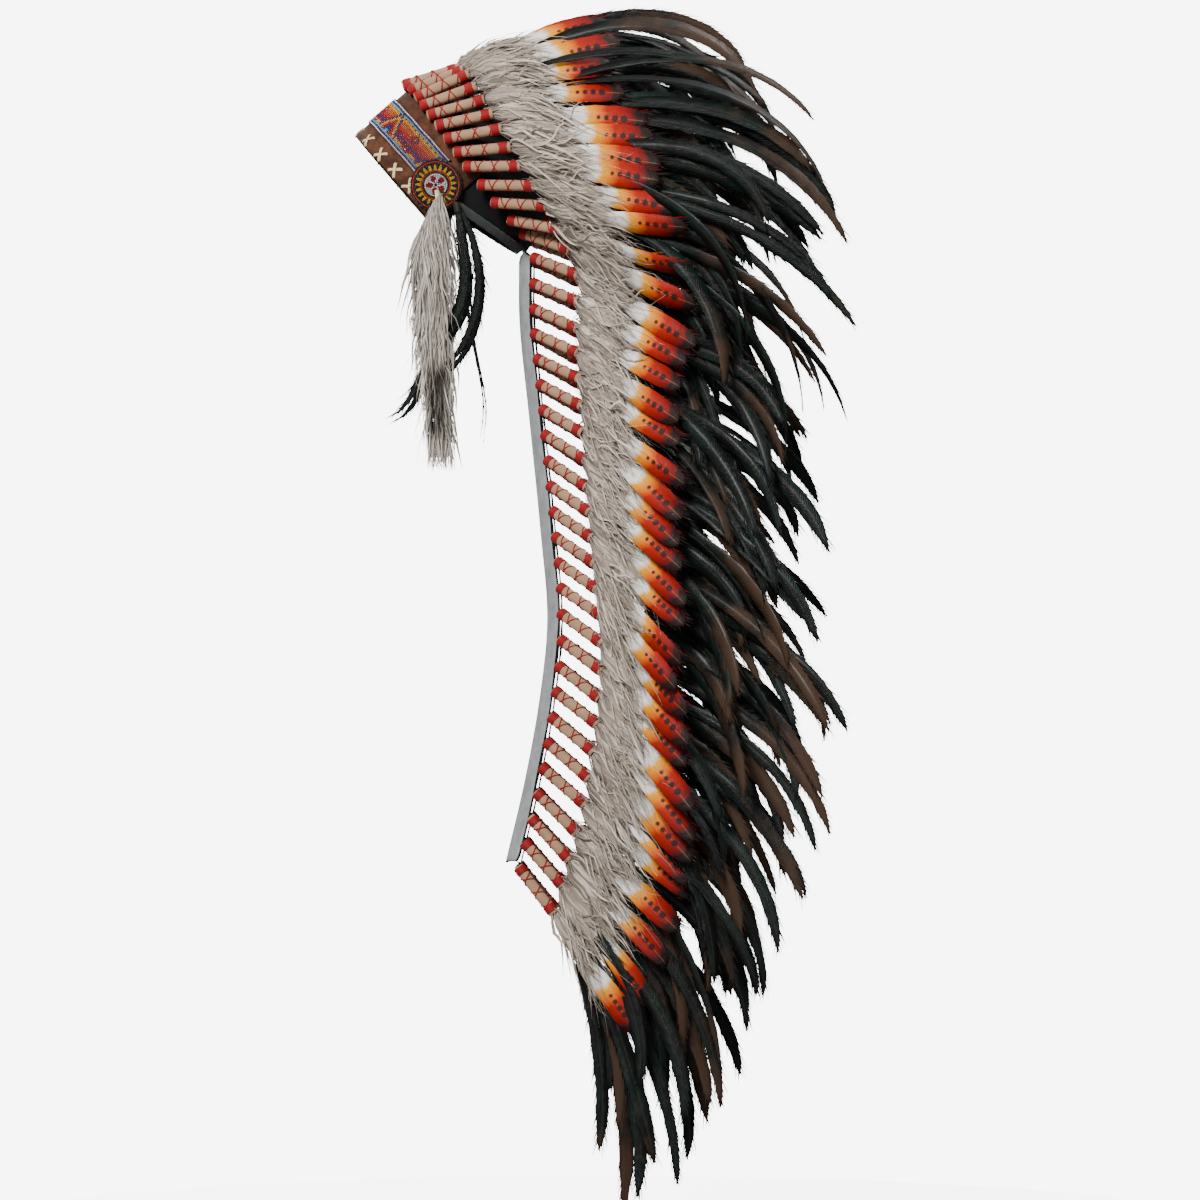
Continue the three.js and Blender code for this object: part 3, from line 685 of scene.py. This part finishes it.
trailerStations = np.arange(crownCount, crownCount + trailerCount)
groups = [("crown", np.arange(crownCount), (-1, 1)), ("trailerLeft", trailerStations, (1,)),
          ("trailerRight", trailerStations, (-1,))]


def rowNode(group, kind):
    # the solid that a group's piece stands for: crown_fur, trailer_fur_left and so on
    return "crown_" + kind if group == "crown" else "trailer_" + kind + "_" + group[7:].lower()


kinds = [("Plumes", "plumes", "plume", "plume", addPlumes),
         ("Painted", "painted", "painted_feather", "painted", addPainted),
         ("Fluff", "fur", "fur", "fur", addFluff)]
for group, at, sides in groups:
    for title, kind, slotName, finish, adder in kinds:
        gather = Gather(group + title)
        for side in sides:
            adder(gather, rowPlaces(at, side))
        gather.make([finishes[finish]], slotName, rowNode(group, kind))

# Wraps: felt tubes with open ends, a red band near each end and a crossed thread between the bands.
wrapMake = dict(sides=14, bands=[(0.7, 8.0), (48.8, 8.0)], threadTurns=2.5, threadRadius=0.68, threadOut=5.6,
                knots=34)
sewing = dict(along=2.5, knots=97, radius=0.8, stitchApart=1.6, stitchWide=1.3, stitchThick=1.1, inset=0.9)
tubeProfile = np.array([[4.5, 3.4], [0.5, 3.9], [0, 4.7], [0.8, 5.35], [20, 5.3], [40, 5.35], [59.2, 5.3],
                        [60, 4.7], [59.5, 3.9], [55.5, 3.4]])
bandProfile = np.array([[0, 4.9], [0.05, 5.7], [0.6, 6.0], [4, 6.08], [7.4, 6.0], [7.95, 5.7], [8, 4.9]])
threadShape = tubeShape(4, wrapMake["knots"])


def turned(shape, base, axis, up, profile, ragged=0.0):
    # copies of a tube whose rings follow a profile of (along, radius)
    cross = np.cross(axis, up)
    c, s, ring = shape["co"][:, 0, None], shape["co"][:, 1, None], shape["ring"]
    radius = profile[ring, 1][None, :, None] * (1 + rng.normal(0, ragged * 0.12, (len(base), len(ring), 1)))
    along = profile[ring, 0][None, :, None] + rng.normal(0, ragged, (len(base), len(ring), 1))
    return base[:, None] + axis[:, None] * along + (up[:, None] * c + cross[:, None] * s) * radius


def addWraps(gather, rows):
    # slots: felt, red bands, crossed thread; the sewing thread is the fourth
    count = len(rows["station"])
    face = unit(rows["face"] - rows["axis"] * (rows["axis"] * rows["face"]).sum(-1, keepdims=True))
    tube = tubeShape(wrapMake["sides"], len(tubeProfile))
    axis = unit(rows["axis"] + rng.normal(0, 0.012, (count, 3)))
    tint = rng.uniform(0, 1, count)
    gather.add(tube, turned(tube, rows["base"], axis, face, tubeProfile, 0.14), 0, tint)
    band = tubeShape(wrapMake["sides"], len(bandProfile))
    for start, width in wrapMake["bands"]:
        profile = bandProfile + np.array([start, 0])
        shift = rng.normal(0, 0.5, (count, 1))
        gather.add(band, turned(band, rows["base"] + axis * shift, axis, face, profile, 0.05), 1, tint,
                   v=bandProfile[band["ring"], 0] / width)
    first, last = wrapMake["bands"][0][0] + wrapMake["bands"][0][1] - 1, wrapMake["bands"][1][0] + 1
    share = np.linspace(0, 1, wrapMake["knots"])
    cross, radius = np.cross(axis, face), wrapMake["threadRadius"]
    for hand in (-1, 1):
        turn = (np.pi + hand * share * wrapMake["threadTurns"] * 2 * np.pi)[None, :, None]
        turn = turn + rng.normal(0, 0.12, (count, 1, 1)) + np.sin(share * 9)[None, :, None] * 0.08
        out = face[:, None] * np.cos(turn) + cross[:, None] * np.sin(turn)
        line = rows["base"][:, None] + axis[:, None] * (first + (last - first) * share)[None, :, None]
        line = line + out * wrapMake["threadOut"]
        gather.add(threadShape, sweep(threadShape, line, out, radius, radius), 2, tint)


def sewDown(gather, at, side):
    # the thread that sews a row's wraps to the strip's edge, and two stitches from that edge into each wrap
    rows, knots = rowPlaces(np.linspace(at[0], at[-1], sewing["knots"]), side), sewing["knots"]
    line = (rows["base"] + rows["axis"] * sewing["along"] + rng.normal(0, 0.25, (knots, 3)))[None]
    thread, stitch, back = tubeShape(5, knots), tubeShape(5, 2), np.array([[0, 1.0, 0]])
    gather.add(thread, sweep(thread, line, back, sewing["radius"], sewing["radius"]), 3)
    rows = rowPlaces(at, side)
    for height in (-sewing["stitchApart"], sewing["stitchApart"]):
        inner = rows["base"] + np.array([0, 0, height])
        inner[:, 0] = side * (strip["halfWidth"] - sewing["inset"])
        outer = rows["base"] + rows["axis"] * sewing["along"] + np.array([0, 0, height])
        line = np.stack([inner, outer], axis=1)
        gather.add(stitch, sweep(stitch, line, back, sewing["stitchWide"], sewing["stitchThick"]), 3)


for group, at, sides in groups:
    gather = Gather(group + "Wraps")
    for side in sides:
        addWraps(gather, rowPlaces(at, side))
    if group == "crown":
        nodes = [f"crown_wrap_{word}_{i:02d}" for word in ("left", "right")
                 for i in range(1, crownCount + 1)]
    else:
        sewDown(gather, at, sides[0])
        nodes = [f"{rowNode(group, 'wraps')}_{i:02d}" for i in range(1, trailerCount // 5 + 1)]
    used = [finishes[k] for k in ("wrapFelt", "redThread", "laceThread", "capFelt")]
    gather.make(used, "wrap_felt", *nodes)


# Felt and suede that lie on the head: a grid laid over it by operators, with a wall of its own thickness.
def laidOver(name, columns, rows, place, thick, materials, node, seam=False, facing=None):
    bm = bmesh.new()
    bmesh.ops.create_grid(bm, x_segments=columns, y_segments=rows, size=1, calc_uvs=False)
    layer = bm.loops.layers.uv.new("along")
    for face in bm.faces:
        for loop in face.loops:
            loop[layer].uv = [(c + 1) / 2 for c in loop.vert.co[:2]]
    co = np.array([v.co for v in bm.verts])
    for vert, point in zip(bm.verts, place((co[:, 0] + 1) / 2, (co[:, 1] + 1) / 2) * mm):
        vert.co = point
    if seam:
        bmesh.ops.remove_doubles(bm, verts=bm.verts, dist=0.2 * mm)
    bmesh.ops.recalc_face_normals(bm, faces=bm.faces)
    if facing and sum(face.normal.dot(Vector(facing)) for face in bm.faces) < 0:
        bmesh.ops.reverse_faces(bm, faces=bm.faces)
    mesh = bpy.data.meshes.new(name)
    bm.to_mesh(mesh)
    bm.free()
    for polygon in mesh.polygons:
        polygon.use_smooth = True
    for material in materials:
        mesh.materials.append(material)
    piece = bpy.data.objects.new(name, mesh)
    bpy.context.scene.collection.objects.link(piece)
    wall = piece.modifiers.new("wall", "SOLIDIFY")
    wall.thickness, wall.offset = thick * mm, 0
    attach(piece, "root")
    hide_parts(node)
    print(name, len(mesh.polygons), "faces")
    return piece


def smoothStep(value, low, high):
    t = np.clip((value - low) / (high - low), 0, 1)
    return t * t * (3 - 2 * t)


def capEdge(angle):
    turned = np.abs(angle)
    front = cap["frontEdge"] + (cap["templeEdge"] - cap["frontEdge"]) * smoothStep(turned, 60, 90)
    back = cap["templeEdge"] - cap["rise"] * head["reach"] * np.cos(np.radians(turned))
    return np.where(turned > 90, back, front)


def onCap(u, v):
    # u runs round the head and v from the edge to the top of the dome
    angle = u * 360 - 180
    inset = cap["thick"] / 2
    top = cap["top"] - inset
    height = capEdge(angle) + (top - capEdge(angle)) * v
    above = np.maximum(height - cap["rim"], 0) / (top - cap["rim"])
    return headPoint(angle, height, -band["thick"] - 0.4 - inset + 0.5 * np.sin(np.radians(angle) * 6) * v,
                     np.sqrt(np.maximum(1 - above**2, 0)))


laidOver("feltCap", 72, 22, onCap, cap["thick"], [finishes["capFelt"]], "skullcap", seam=True)


def onHem(u, v):
    angle = 180 + (u - 0.5) * 2 * (180 - hem["start"])
    edge = capEdge(180 - np.abs(180 - angle))
    return headPoint(angle, edge + hem["height"] * v + 0.25 * np.sin(angle * 0.9), hem["thick"] / 2
                     + 0.25 * np.sin(v * np.pi))


laidOver("capHem", 60, 4, onHem, hem["thick"], [finishes["hemFelt"]], "cap_hem")


def onBand(u, v):
    angle = (u * 2 - 1) * band["end"]
    wave = 0.22 * np.sin(angle * 0.13 + v * 2.2)
    return headPoint(angle, band["low"] + (band["high"] - band["low"]) * v, -band["thick"] / 2 + wave)


brow = laidOver("browBand", 96, 10, onBand, band["thick"], [finishes["suede"]], "brow_band")

# Beaded strip: rows of glass beads on a thin backing, charted by row and by column from the brow.
beading = dict(rows=20, pitch=1.62, radius=0.86, out=1.55, mountain=57, half=35)
glass = dict(white=(0.66, 0.66, 0.64), sky=(0.09, 0.36, 0.52), navy=(0.006, 0.006, 0.13),
             black=(0.005, 0.005, 0.007), yellow=(0.66, 0.36, 0.002), orange=(0.56, 0.10, 0.001),
             coral=(0.46, 0.026, 0.002), red=(0.30, 0.003, 0.003))
borders = {0: "white", 1: "navy", 2: "sky", 17: "sky", 18: "navy", 19: "white"}
grounds = ["yellow", "yellow", "orange", "orange", "orange", "coral", "coral", "red", "red", "navy", "navy",
           "red", "yellow", "yellow"]


def charted(row, column):
    # a bead's colour: stepped mountains and flowers in turn over level grounds
    span = beading["half"] / beading["pitch"]
    place = (abs(column) - beading["mountain"] / beading["pitch"]) / span
    turn = round(place)
    away = abs(place - turn) * span
    down = 16 - row
    if turn % 2 == 0:
        edge = 1 + 1.45 * (down // 2 + 1)
        if down in (-1, -2) and away < 1:
            return "navy"
        if 0 <= down <= 13 and away <= edge:
            ways = ["navy", "navy", "yellow", "yellow", "orange", "red", "red"]
            if down > 8 and away < 2.2:
                return "sky" if down > 11 and away < 1.2 else "navy"
            return ways[min(int(edge - away), 6)]
    else:
        for centre in (4, 12):
            reach = round(away) + abs(down - centre)
            if reach <= 3 and 0 <= down <= 13:
                return ["white", "red", "red", "black"][reach]
    if row in borders:
        return borders[row]
    ground = grounds[down]
    if ground == "navy" and (column + down) % 5 == 0:
        return "red"
    if down == 0 and column % 4 == 0:
        return "black"
    if down >= 12 and (column // 2 + down) % 3 == 0:
        return "coral" if column % 2 else "sky"
    return ground


def ringLengths(out):
    angle = np.linspace(-beadStrip["end"] + 0.7, beadStrip["end"] - 0.7, 900)
    line = headPoint(angle, 0, out)
    return angle, np.concatenate([[0], np.cumsum(np.linalg.norm(np.diff(line, axis=0), axis=1))])


beadTemplate = beadShape()


def beadsAt(gather, places, outward, along, radius, colours, squat=0.82):
    # a bead is a little squat along its thread
    up = np.cross(outward, along)
    co = beadTemplate["co"][None, :, :] * radius * rng.normal(1, 0.035, (len(places), 1, 1))
    spread = (along[:, None] * co[..., :1] * squat + up[:, None] * co[..., 1:2]
              + outward[:, None] * co[..., 2:])
    paint = np.array([glass[c] for c in colours]) * rng.uniform(0.85, 1.08, (len(places), 1))
    gather.add(beadTemplate, places[:, None] + spread, 0, rng.uniform(0, 1, len(places)), u=0.5, v=0.5,
               paint=paint.clip(0, 1))


def makeBeadStrip():
    gather = Gather("beadedStrip")
    angles, lengths = ringLengths(beading["out"])
    columns = int(lengths[-1] / beading["pitch"] / 2)
    column = np.arange(-columns, columns + 1)
    angle = np.interp(lengths[-1] / 2 + column * beading["pitch"], lengths, angles)
    rows = np.linspace(beadStrip["low"] + 1.3, beadStrip["high"] - 1.3, beading["rows"])
    along = unit(headPoint(angle + 0.5, 0) - headPoint(angle - 0.5, 0))
    lean = np.broadcast_to(leaning(0, 0, 1.0), along.shape)
    outward = unit(np.cross(along, lean))
    for row, height in enumerate(rows):
        wobble = 0.16 * np.sin(angle * 0.31) + rng.normal(0, 0.07, len(angle))
        places = headPoint(angle, height + wobble, beading["out"])
        places = places + outward * rng.normal(0, 0.06, (len(angle), 1))
        beadsAt(gather, places, outward, along, beading["radius"], [charted(row, int(c)) for c in column])
    edges = np.linspace(-beadStrip["end"], beadStrip["end"], 260)
    cordShape = tubeShape(6, 260)
    for height in (beadStrip["low"] + 0.1, beadStrip["high"] - 0.1):
        line = headPoint(edges, height + 0.15 * np.sin(edges * 0.31), 1.25)[None]
        gather.add(cordShape, sweep(cordShape, line, lean[:1], 0.75, 0.75), 1)
    backAngles = np.linspace(-beadStrip["end"], beadStrip["end"], 120)
    backing = tubeShape(8, 120)
    middle = (beadStrip["low"] + beadStrip["high"]) / 2
    back = headPoint(backAngles, middle, 0.95)[None]
    half = beadStrip["high"] - middle - 0.4
    gather.add(backing, sweep(backing, back, lean[:1], half, 0.5, square=0.3), 1)
    gather.make([finishes["beads"], finishes["darkThread"]], "glass_beads", "beaded_strip")


makeBeadStrip()

# Rosettes: rings of beads on a felt disc.
rosetteMake = dict(pitch=1.74, radius=0.88, teeth=21, petals=5, petalRing=6.7, petalLong=3.4, petal=2.5)
# rings with teeth: radius, how many beads of a tooth are yellow, and whether one sits on its middle
toothRings = [(21.3, 0, 0), (19.9, 1, 1), (18.5, 2, 0), (17.1, 2, 0), (15.7, 3, 1)]


def rosetteRings():
    # each ring of beads: its radius, its turns and its colours
    step = 2 * np.pi / rosetteMake["petals"]
    for radius in (24.9, 23.1, 14.1, 12.4, 10.7, 9.0, 7.3, 5.6, 3.9, 2.2, 0.6):
        count = max(int(2 * np.pi * radius / rosetteMake["pitch"]), 3)
        turns = np.arange(count) * 2 * np.pi / count
        petal = (turns + step / 2) % step - step / 2
        x, y = radius * np.cos(petal) - rosetteMake["petalRing"], radius * np.sin(petal)
        inPetal = (x / rosetteMake["petalLong"]) ** 2 + (y / rosetteMake["petal"]) ** 2 < 1
        plain = {24.9: "black", 23.1: "coral", 14.1: "coral", 12.4: "black", 0.6: "black"}
        colours = [plain.get(radius, "red" if hit else "white") for hit in inPetal]
        yield radius, turns, colours
    for radius, yellow, centred in toothRings:
        count = rosetteMake["teeth"] * 4
        turns = (np.arange(count) + 0.5 * (1 - centred)) * 2 * np.pi / count
        # how many beads each one is from the middle of its tooth
        away = np.abs((np.arange(count) + 0.5 * (1 - centred) + 2) % 4 - 2)
        yield radius, turns, ["yellow" if a < yellow / 2 else "black" for a in away]


def makeRosette(word, side):
    gather = Gather("rosette" + word)
    centre = np.array([side * rosette["out"], rosette["along"], rosette["up"]])
    outward = np.array([side, 0, 0.0])
    up = leaning(0, 0, 1.0)
    across = np.cross(up, outward)
    disc = tubeShape(40, 5)
    profile = np.array([[0.1, 24.0], [0.5, 24.9], [1.4, 24.9], [2.3, 22], [3.0, 8]])
    gather.add(disc, turned(disc, centre[None], outward[None], up[None], profile), 1)
    for radius, turn, colours in rosetteRings():
        count = len(turn)
        out = across * np.sin(turn)[:, None] + up * np.cos(turn)[:, None]
        along = across * np.cos(turn)[:, None] - up * np.sin(turn)[:, None]
        height = np.interp(radius, [0, 8, 22, 25], [3.4, 3.2, 2.5, 1.6])
        places = centre + out * (radius + rng.normal(0, 0.06, (count, 1))) + outward * height
        beadsAt(gather, places, np.repeat(outward[None], count, 0), along, rosetteMake["radius"], colours,
                min(0.9, np.pi * radius / count / rosetteMake["radius"] * 0.97))
    count = 60
    turn = np.arange(count) * 2 * np.pi / count
    out = across * np.sin(turn)[:, None] + up * np.cos(turn)[:, None]
    along = across * np.cos(turn)[:, None] - up * np.sin(turn)[:, None]
    rim = centre + out * (25.4 + 0.35 * (-1.0) ** np.arange(count))[:, None] + outward * 0.8
    beadsAt(gather, rim, out, along, 1.15, ["black"] * count)
    gather.make([finishes["beads"], finishes["capFelt"]], "glass_beads", "rosette_" + word.lower())


for word, side in (("Left", 1), ("Right", -1)):
    makeRosette(word, side)

# Lacing: pairs of cream strips crossed through the suede above its lower edge.
lacing = dict(angles=[-79, -65, -50.5, -31, -8, 8, 31, 50.5, 65, 79], half=5.4, low=-25.6, high=-13.6,
              wide=1.55, thick=0.45)


def makeLacing():
    gather = Gather("lacing")
    strap = tubeShape(8, 9)
    share = np.linspace(0, 1, 9)
    for middle in lacing["angles"]:
        for lean, out in ((1, 0.55), (-1, 1.35)):
            span = np.degrees(lacing["half"] / 90)
            heights = lacing["low"] + (lacing["high"] - lacing["low"]) * share
            angle = middle + lean * span * (share * 2 - 1) + rng.normal(0, 0.35)
            near = out * 0.5 + 0.2
            lift = np.interp(share, [0, 0.12, 0.5, 0.88, 1], [-0.7, near, out, near, -0.7])
            line = headPoint(angle, heights + rng.normal(0, 0.3), lift)[None]
            outward = headPoint(np.array([middle]), 0, 10) - headPoint(np.array([middle]), 0, 0)
            across = unit(np.cross(outward, line[:, -1] - line[:, 0]))
            wide = lacing["wide"] * (1 + 0.12 * np.sin(share * 7 + middle))
            gather.add(strap, sweep(strap, line, across, wide, lacing["thick"], square=0.5), 0,
                       rng.uniform(0, 1, 1))
    return gather.make([finishes["lace"]], "suede")


makeLacing()

# Trailer strip: a long felt, grey inside and black outside, sewn to the cap and curled at its edges.
stripMake = dict(rings=110, columns=14, sewn=26)


def onStrip(u, v):
    # u runs across and v down, from where it is sewn to the cap
    c = u * 2 - 1
    sewnOut = head["reach"] + hem["thick"] + strip["thick"] / 2 + 0.8
    top = leaning(0, sewnOut, strip["sewnAt"])
    first = stripMake["sewn"] / (stripMake["sewn"] + stripLength[-1])
    share = np.clip((v - first) / (1 - first), 0, 1)
    sewn = np.clip(v / first, 0, 1)[:, None]
    middle, back = stripAt(share)
    curl = np.interp(v, [first * 0.4, first * 0.85], [-strip["cup"], strip["curl"]])
    middle = top * (1 - sewn) + middle * sewn
    back = unit(leaning(0, 1, 0) * (1 - sewn) + back * sewn)
    place = middle + back * (curl * c**2 - strip["thick"] / 2)[:, None]
    rumple = 0.9 * np.sin(share * 34 + c * 1.3) * np.abs(c) * share.clip(0, 0.1) * 10
    place[:, 0] += c * strip["halfWidth"] + rumple * 0.5
    point = 5 * np.abs(c) * smoothStep(v, 0.985, 1)
    place[:, 2] += point
    return place + back * (rumple * 0.5)[:, None]


trailer = laidOver("trailerStrip", stripMake["columns"], stripMake["rings"], onStrip, strip["thick"],
                   [finishes["stripFelt"], finishes["capFelt"]], "trailer_strip",
                   facing=(0, -1, 0.2))
trailer.modifiers["wall"].material_offset = 1
trailer.modifiers["wall"].material_offset_rim = 1

# Drops: a tail of fur hung from each rosette by a leather tie, with black feathers beside it.
tail = dict(
    x=[94, 96, 97, 98, 98, 98, 97, 97, 97],
    y=[4, -1, -5, -7, -6, -3, 1, 2, 2],
    z=[-8, -22, -40, -64, -104, -146, -196, -244, -270],
    wide=[3, 8, 15, 20, 17, 14, 9, 7, 2],
    deep=[2.5, 5, 8, 10, 10, 9, 6.5, 5, 2],
    locks=380, wisps=320, lowest=-276,
)
dropLines = [
    dict(wide=7.6, x=88,
         line=[(21, -20), (24, -48), (28, -86), (22, -121), (3, -149), (-13, -184), (-35, -221), (-48, -229)]),
    dict(wide=5.4, x=85.6,
         line=[(22, -20), (35, -48), (42, -88), (40, -114), (33, -142), (22, -163), (-9, -196)]),
    dict(wide=1.3, x=83.6,
         line=[(22, -20), (30, -90), (34, -141), (45, -199), (47, -221), (44, -249)]),
]
dropFringe = {"vane": 0.85, "thick": 0.5, "cup": 0.25, "shaft": 0.7, "barbs": 46, "from": 0.08, "lean": 22,
              "loose": 8, "over": 0.6, "stray": 1.6, "wide": 0.7}
thinFringe = {**dropFringe, "barbs": 16, "stray": 0.5, "lean": 12}
dropTaper = np.interp(vaneStops, [0, 0.1, 0.3, 0.6, 0.85, 1], [0.5, 0.8, 1, 0.95, 0.6, 0.05])


def makeDrops(word, side):
    gather = Gather("furDrop" + word)
    share, back = np.linspace(0, 1, len(tail["z"])), np.array([[0, 1.0, 0]])
    at = lambda key, s: np.interp(s, share, tail[key])
    spine = stack(at("x", share) * side, at("y", share), at("z", share))[None]
    core = sweep(coreShape, spine, back, (at("wide", share) * 0.6)[None], (at("deep", share) * 0.6)[None])
    # the core's low tint paints it darker than the locks: painted shade inside the tail
    gather.add(coreShape, core, 0, rng.uniform(0.2, 0.3, 1))
    for number, shape, taper, lengths, widths, swing in (
            (tail["locks"], lockShape, lockTaper, (26, 62), (0.55, 1.5), 2.2),
            (tail["wisps"], wispShape, wispTaper, (24, 60), (0.25, 0.5), 4)):
        s = rng.uniform(0, 0.84, number) ** 0.8
        turn = rng.uniform(0, 2 * np.pi, number)
        cos, sin = np.cos(turn), np.sin(turn)
        start = stack((at("x", s) + at("deep", s) * sin * 0.75) * side,
                      at("y", s) + at("wide", s) * cos * 0.75, at("z", s))
        way = unit(stack(sin * 0.10 * side, cos * (0.16 - 0.1 * s) + rng.normal(0, 0.1, number), -1.0))
        lengths = np.minimum(rng.uniform(*lengths, number), 0.96 * (at("z", s) - tail["lowest"]))
        backs = back + 0 * start
        lines = wavyLines(start, way, backs, stack(sin * side, 0, 0), lengths,
                          rng.uniform(0.3, 1.2, number) * swing * lengths / 45, shape["rings"])
        wide = rng.uniform(*widths, (number, 1)) * taper
        strands = sweep(shape, lines, backs, wide, wide * 0.45 + 0.05)
        gather.add(shape, strands, 0, rng.uniform(0, 1, number))
    strap = tubeShape(8, 9)
    line = stack(side * np.array([90, 91.5, 92.5, 93.2, 93.6, 93.8, 94, 94, 94]),
                 np.linspace(0.5, 3.5, 9), np.linspace(-3, -21, 9))[None]
    tie = sweep(strap, line, np.array([[0, 1.0, -0.2]]), np.linspace(2.2, 3.6, 9), 0.7, square=0.5)
    gather.add(strap, tie, 1)
    gather.make([finishes["tailFur"], finishes["lace"]], "fur", "fur_drop_" + word.lower())

    gather = Gather("dropFeathers" + word)
    for row in dropLines:
        line, length = centripetal(np.array(row["line"], float), 40)
        reach = np.linspace(0, length[-1], vaneRings)
        spine = stack(side * row["x"], *(np.interp(reach, length, line[:, i]) for i in (0, 1)))[None]
        spine[0, :, 0] += side * 2.2 * np.sin(np.linspace(0, 5, vaneRings))
        addFeather(gather, spine, np.array([[0.25 * side, 1.0, 0.3]]), (row["wide"] * dropTaper)[None],
                   rng.uniform(0.2, 0.6, 1), dropFringe if row["wide"] > 2 else thinFringe)
    knot = tubeShape(12, 7)
    profile = np.array([[0, 1.5], [0.6, 2.9], [3, 3.6], [6, 3.3], [9, 3.7], [11.4, 2.6], [12, 1.2]])
    start = np.array([[side * 86.5, 19.5, -14.5]])
    down, across = unit(np.array([[0, 0.2, -1.0]])), np.array([[1.0, 0, 0]])
    gather.add(knot, turned(knot, start, down, across, profile, 0.15), 1, v=profile[knot["ring"], 0] / 12)
    cord = tubeShape(6, 9)
    line = stack(side * np.linspace(89.5, 87, 9), np.linspace(2, 20, 9),
                 -4 - 12 * np.linspace(0, 1, 9) ** 1.6)[None]
    gather.add(cord, sweep(cord, line, across, 1.0, 1.0), 1)
    gather.make([finishes["dropPlume"], finishes["knotThread"]], "plume", "drop_feathers_" + word.lower())


for word, side in (("Left", 1), ("Right", -1)):
    makeDrops(word, side)

# Studio: long lens level with the middle of the piece, white paper all round, a bright room and soft lamps.
studio = dict(distance=7.0, middle=(0.163, -0.411), nearSide=0.06, frameWide=1.2, sensor=36, room=0.5,
              floor=-1.05, floorRadius=0.7, floorPaper=5.5, backdropRadius=16, paper=7.0,
              lampAim=(0, 0.15, -0.35))
camera = bpy.data.objects.new("camera", bpy.data.cameras.new("camera"))
bpy.context.scene.collection.objects.link(camera)
camera.location = (studio["distance"], *studio["middle"])
camera.rotation_euler = (np.pi / 2, 0, np.pi / 2)
camera.data.sensor_width = studio["sensor"]
camera.data.lens = studio["sensor"] * (studio["distance"] - studio["nearSide"]) / studio["frameWide"]
bpy.context.scene.camera = camera
world = bpy.data.worlds.new("studio")
world.use_nodes = True
background = world.node_tree.nodes["Background"]
background.inputs["Color"].default_value = (1, 1, 1, 1)
background.inputs["Strength"].default_value = studio["room"]
bpy.context.scene.world = world


def softLamp(name, place, size, power):
    lamp = bpy.data.objects.new(name, bpy.data.lights.new(name, "AREA"))
    lamp.data.shape, lamp.data.size, lamp.data.energy = "DISK", size, power
    lamp.location = place
    aimAt = np.array(studio["lampAim"]) - np.array(place)
    lamp.rotation_euler = Vector(aimAt).to_track_quat("-Z", "Y").to_euler()
    bpy.context.scene.collection.objects.link(lamp)


softLamp("keyLamp", (3.2, -1.2, 1.9), 1.3, 300)
softLamp("topLamp", (-0.8, 1.6, 2.6), 1.2, 110)


def paperPiece(name, strength):
    # lit paper that only the camera sees, so that it throws no light on the piece
    stage = bpy.context.object
    stage.name = name
    paper = Finish(name + "Paper", Roughness=0.9, Specular_IOR_Level=0, Emission_Strength=strength)
    paper.set(dict(Base_Color=(0.8, 0.8, 0.8), Emission_Color=(1, 1, 1)))
    stage.data.materials.append(paper.material)
    stage.visible_diffuse = stage.visible_glossy = stage.visible_transmission = stage.visible_shadow = False


bpy.ops.mesh.primitive_circle_add(vertices=96, radius=studio["floorRadius"], fill_type="NGON",
                                  location=(0, 0.16, studio["floor"]))
paperPiece("floor", studio["floorPaper"])
bpy.ops.mesh.primitive_ico_sphere_add(subdivisions=4, radius=studio["backdropRadius"])
paperPiece("backdrop", studio["paper"])

print("scene made")
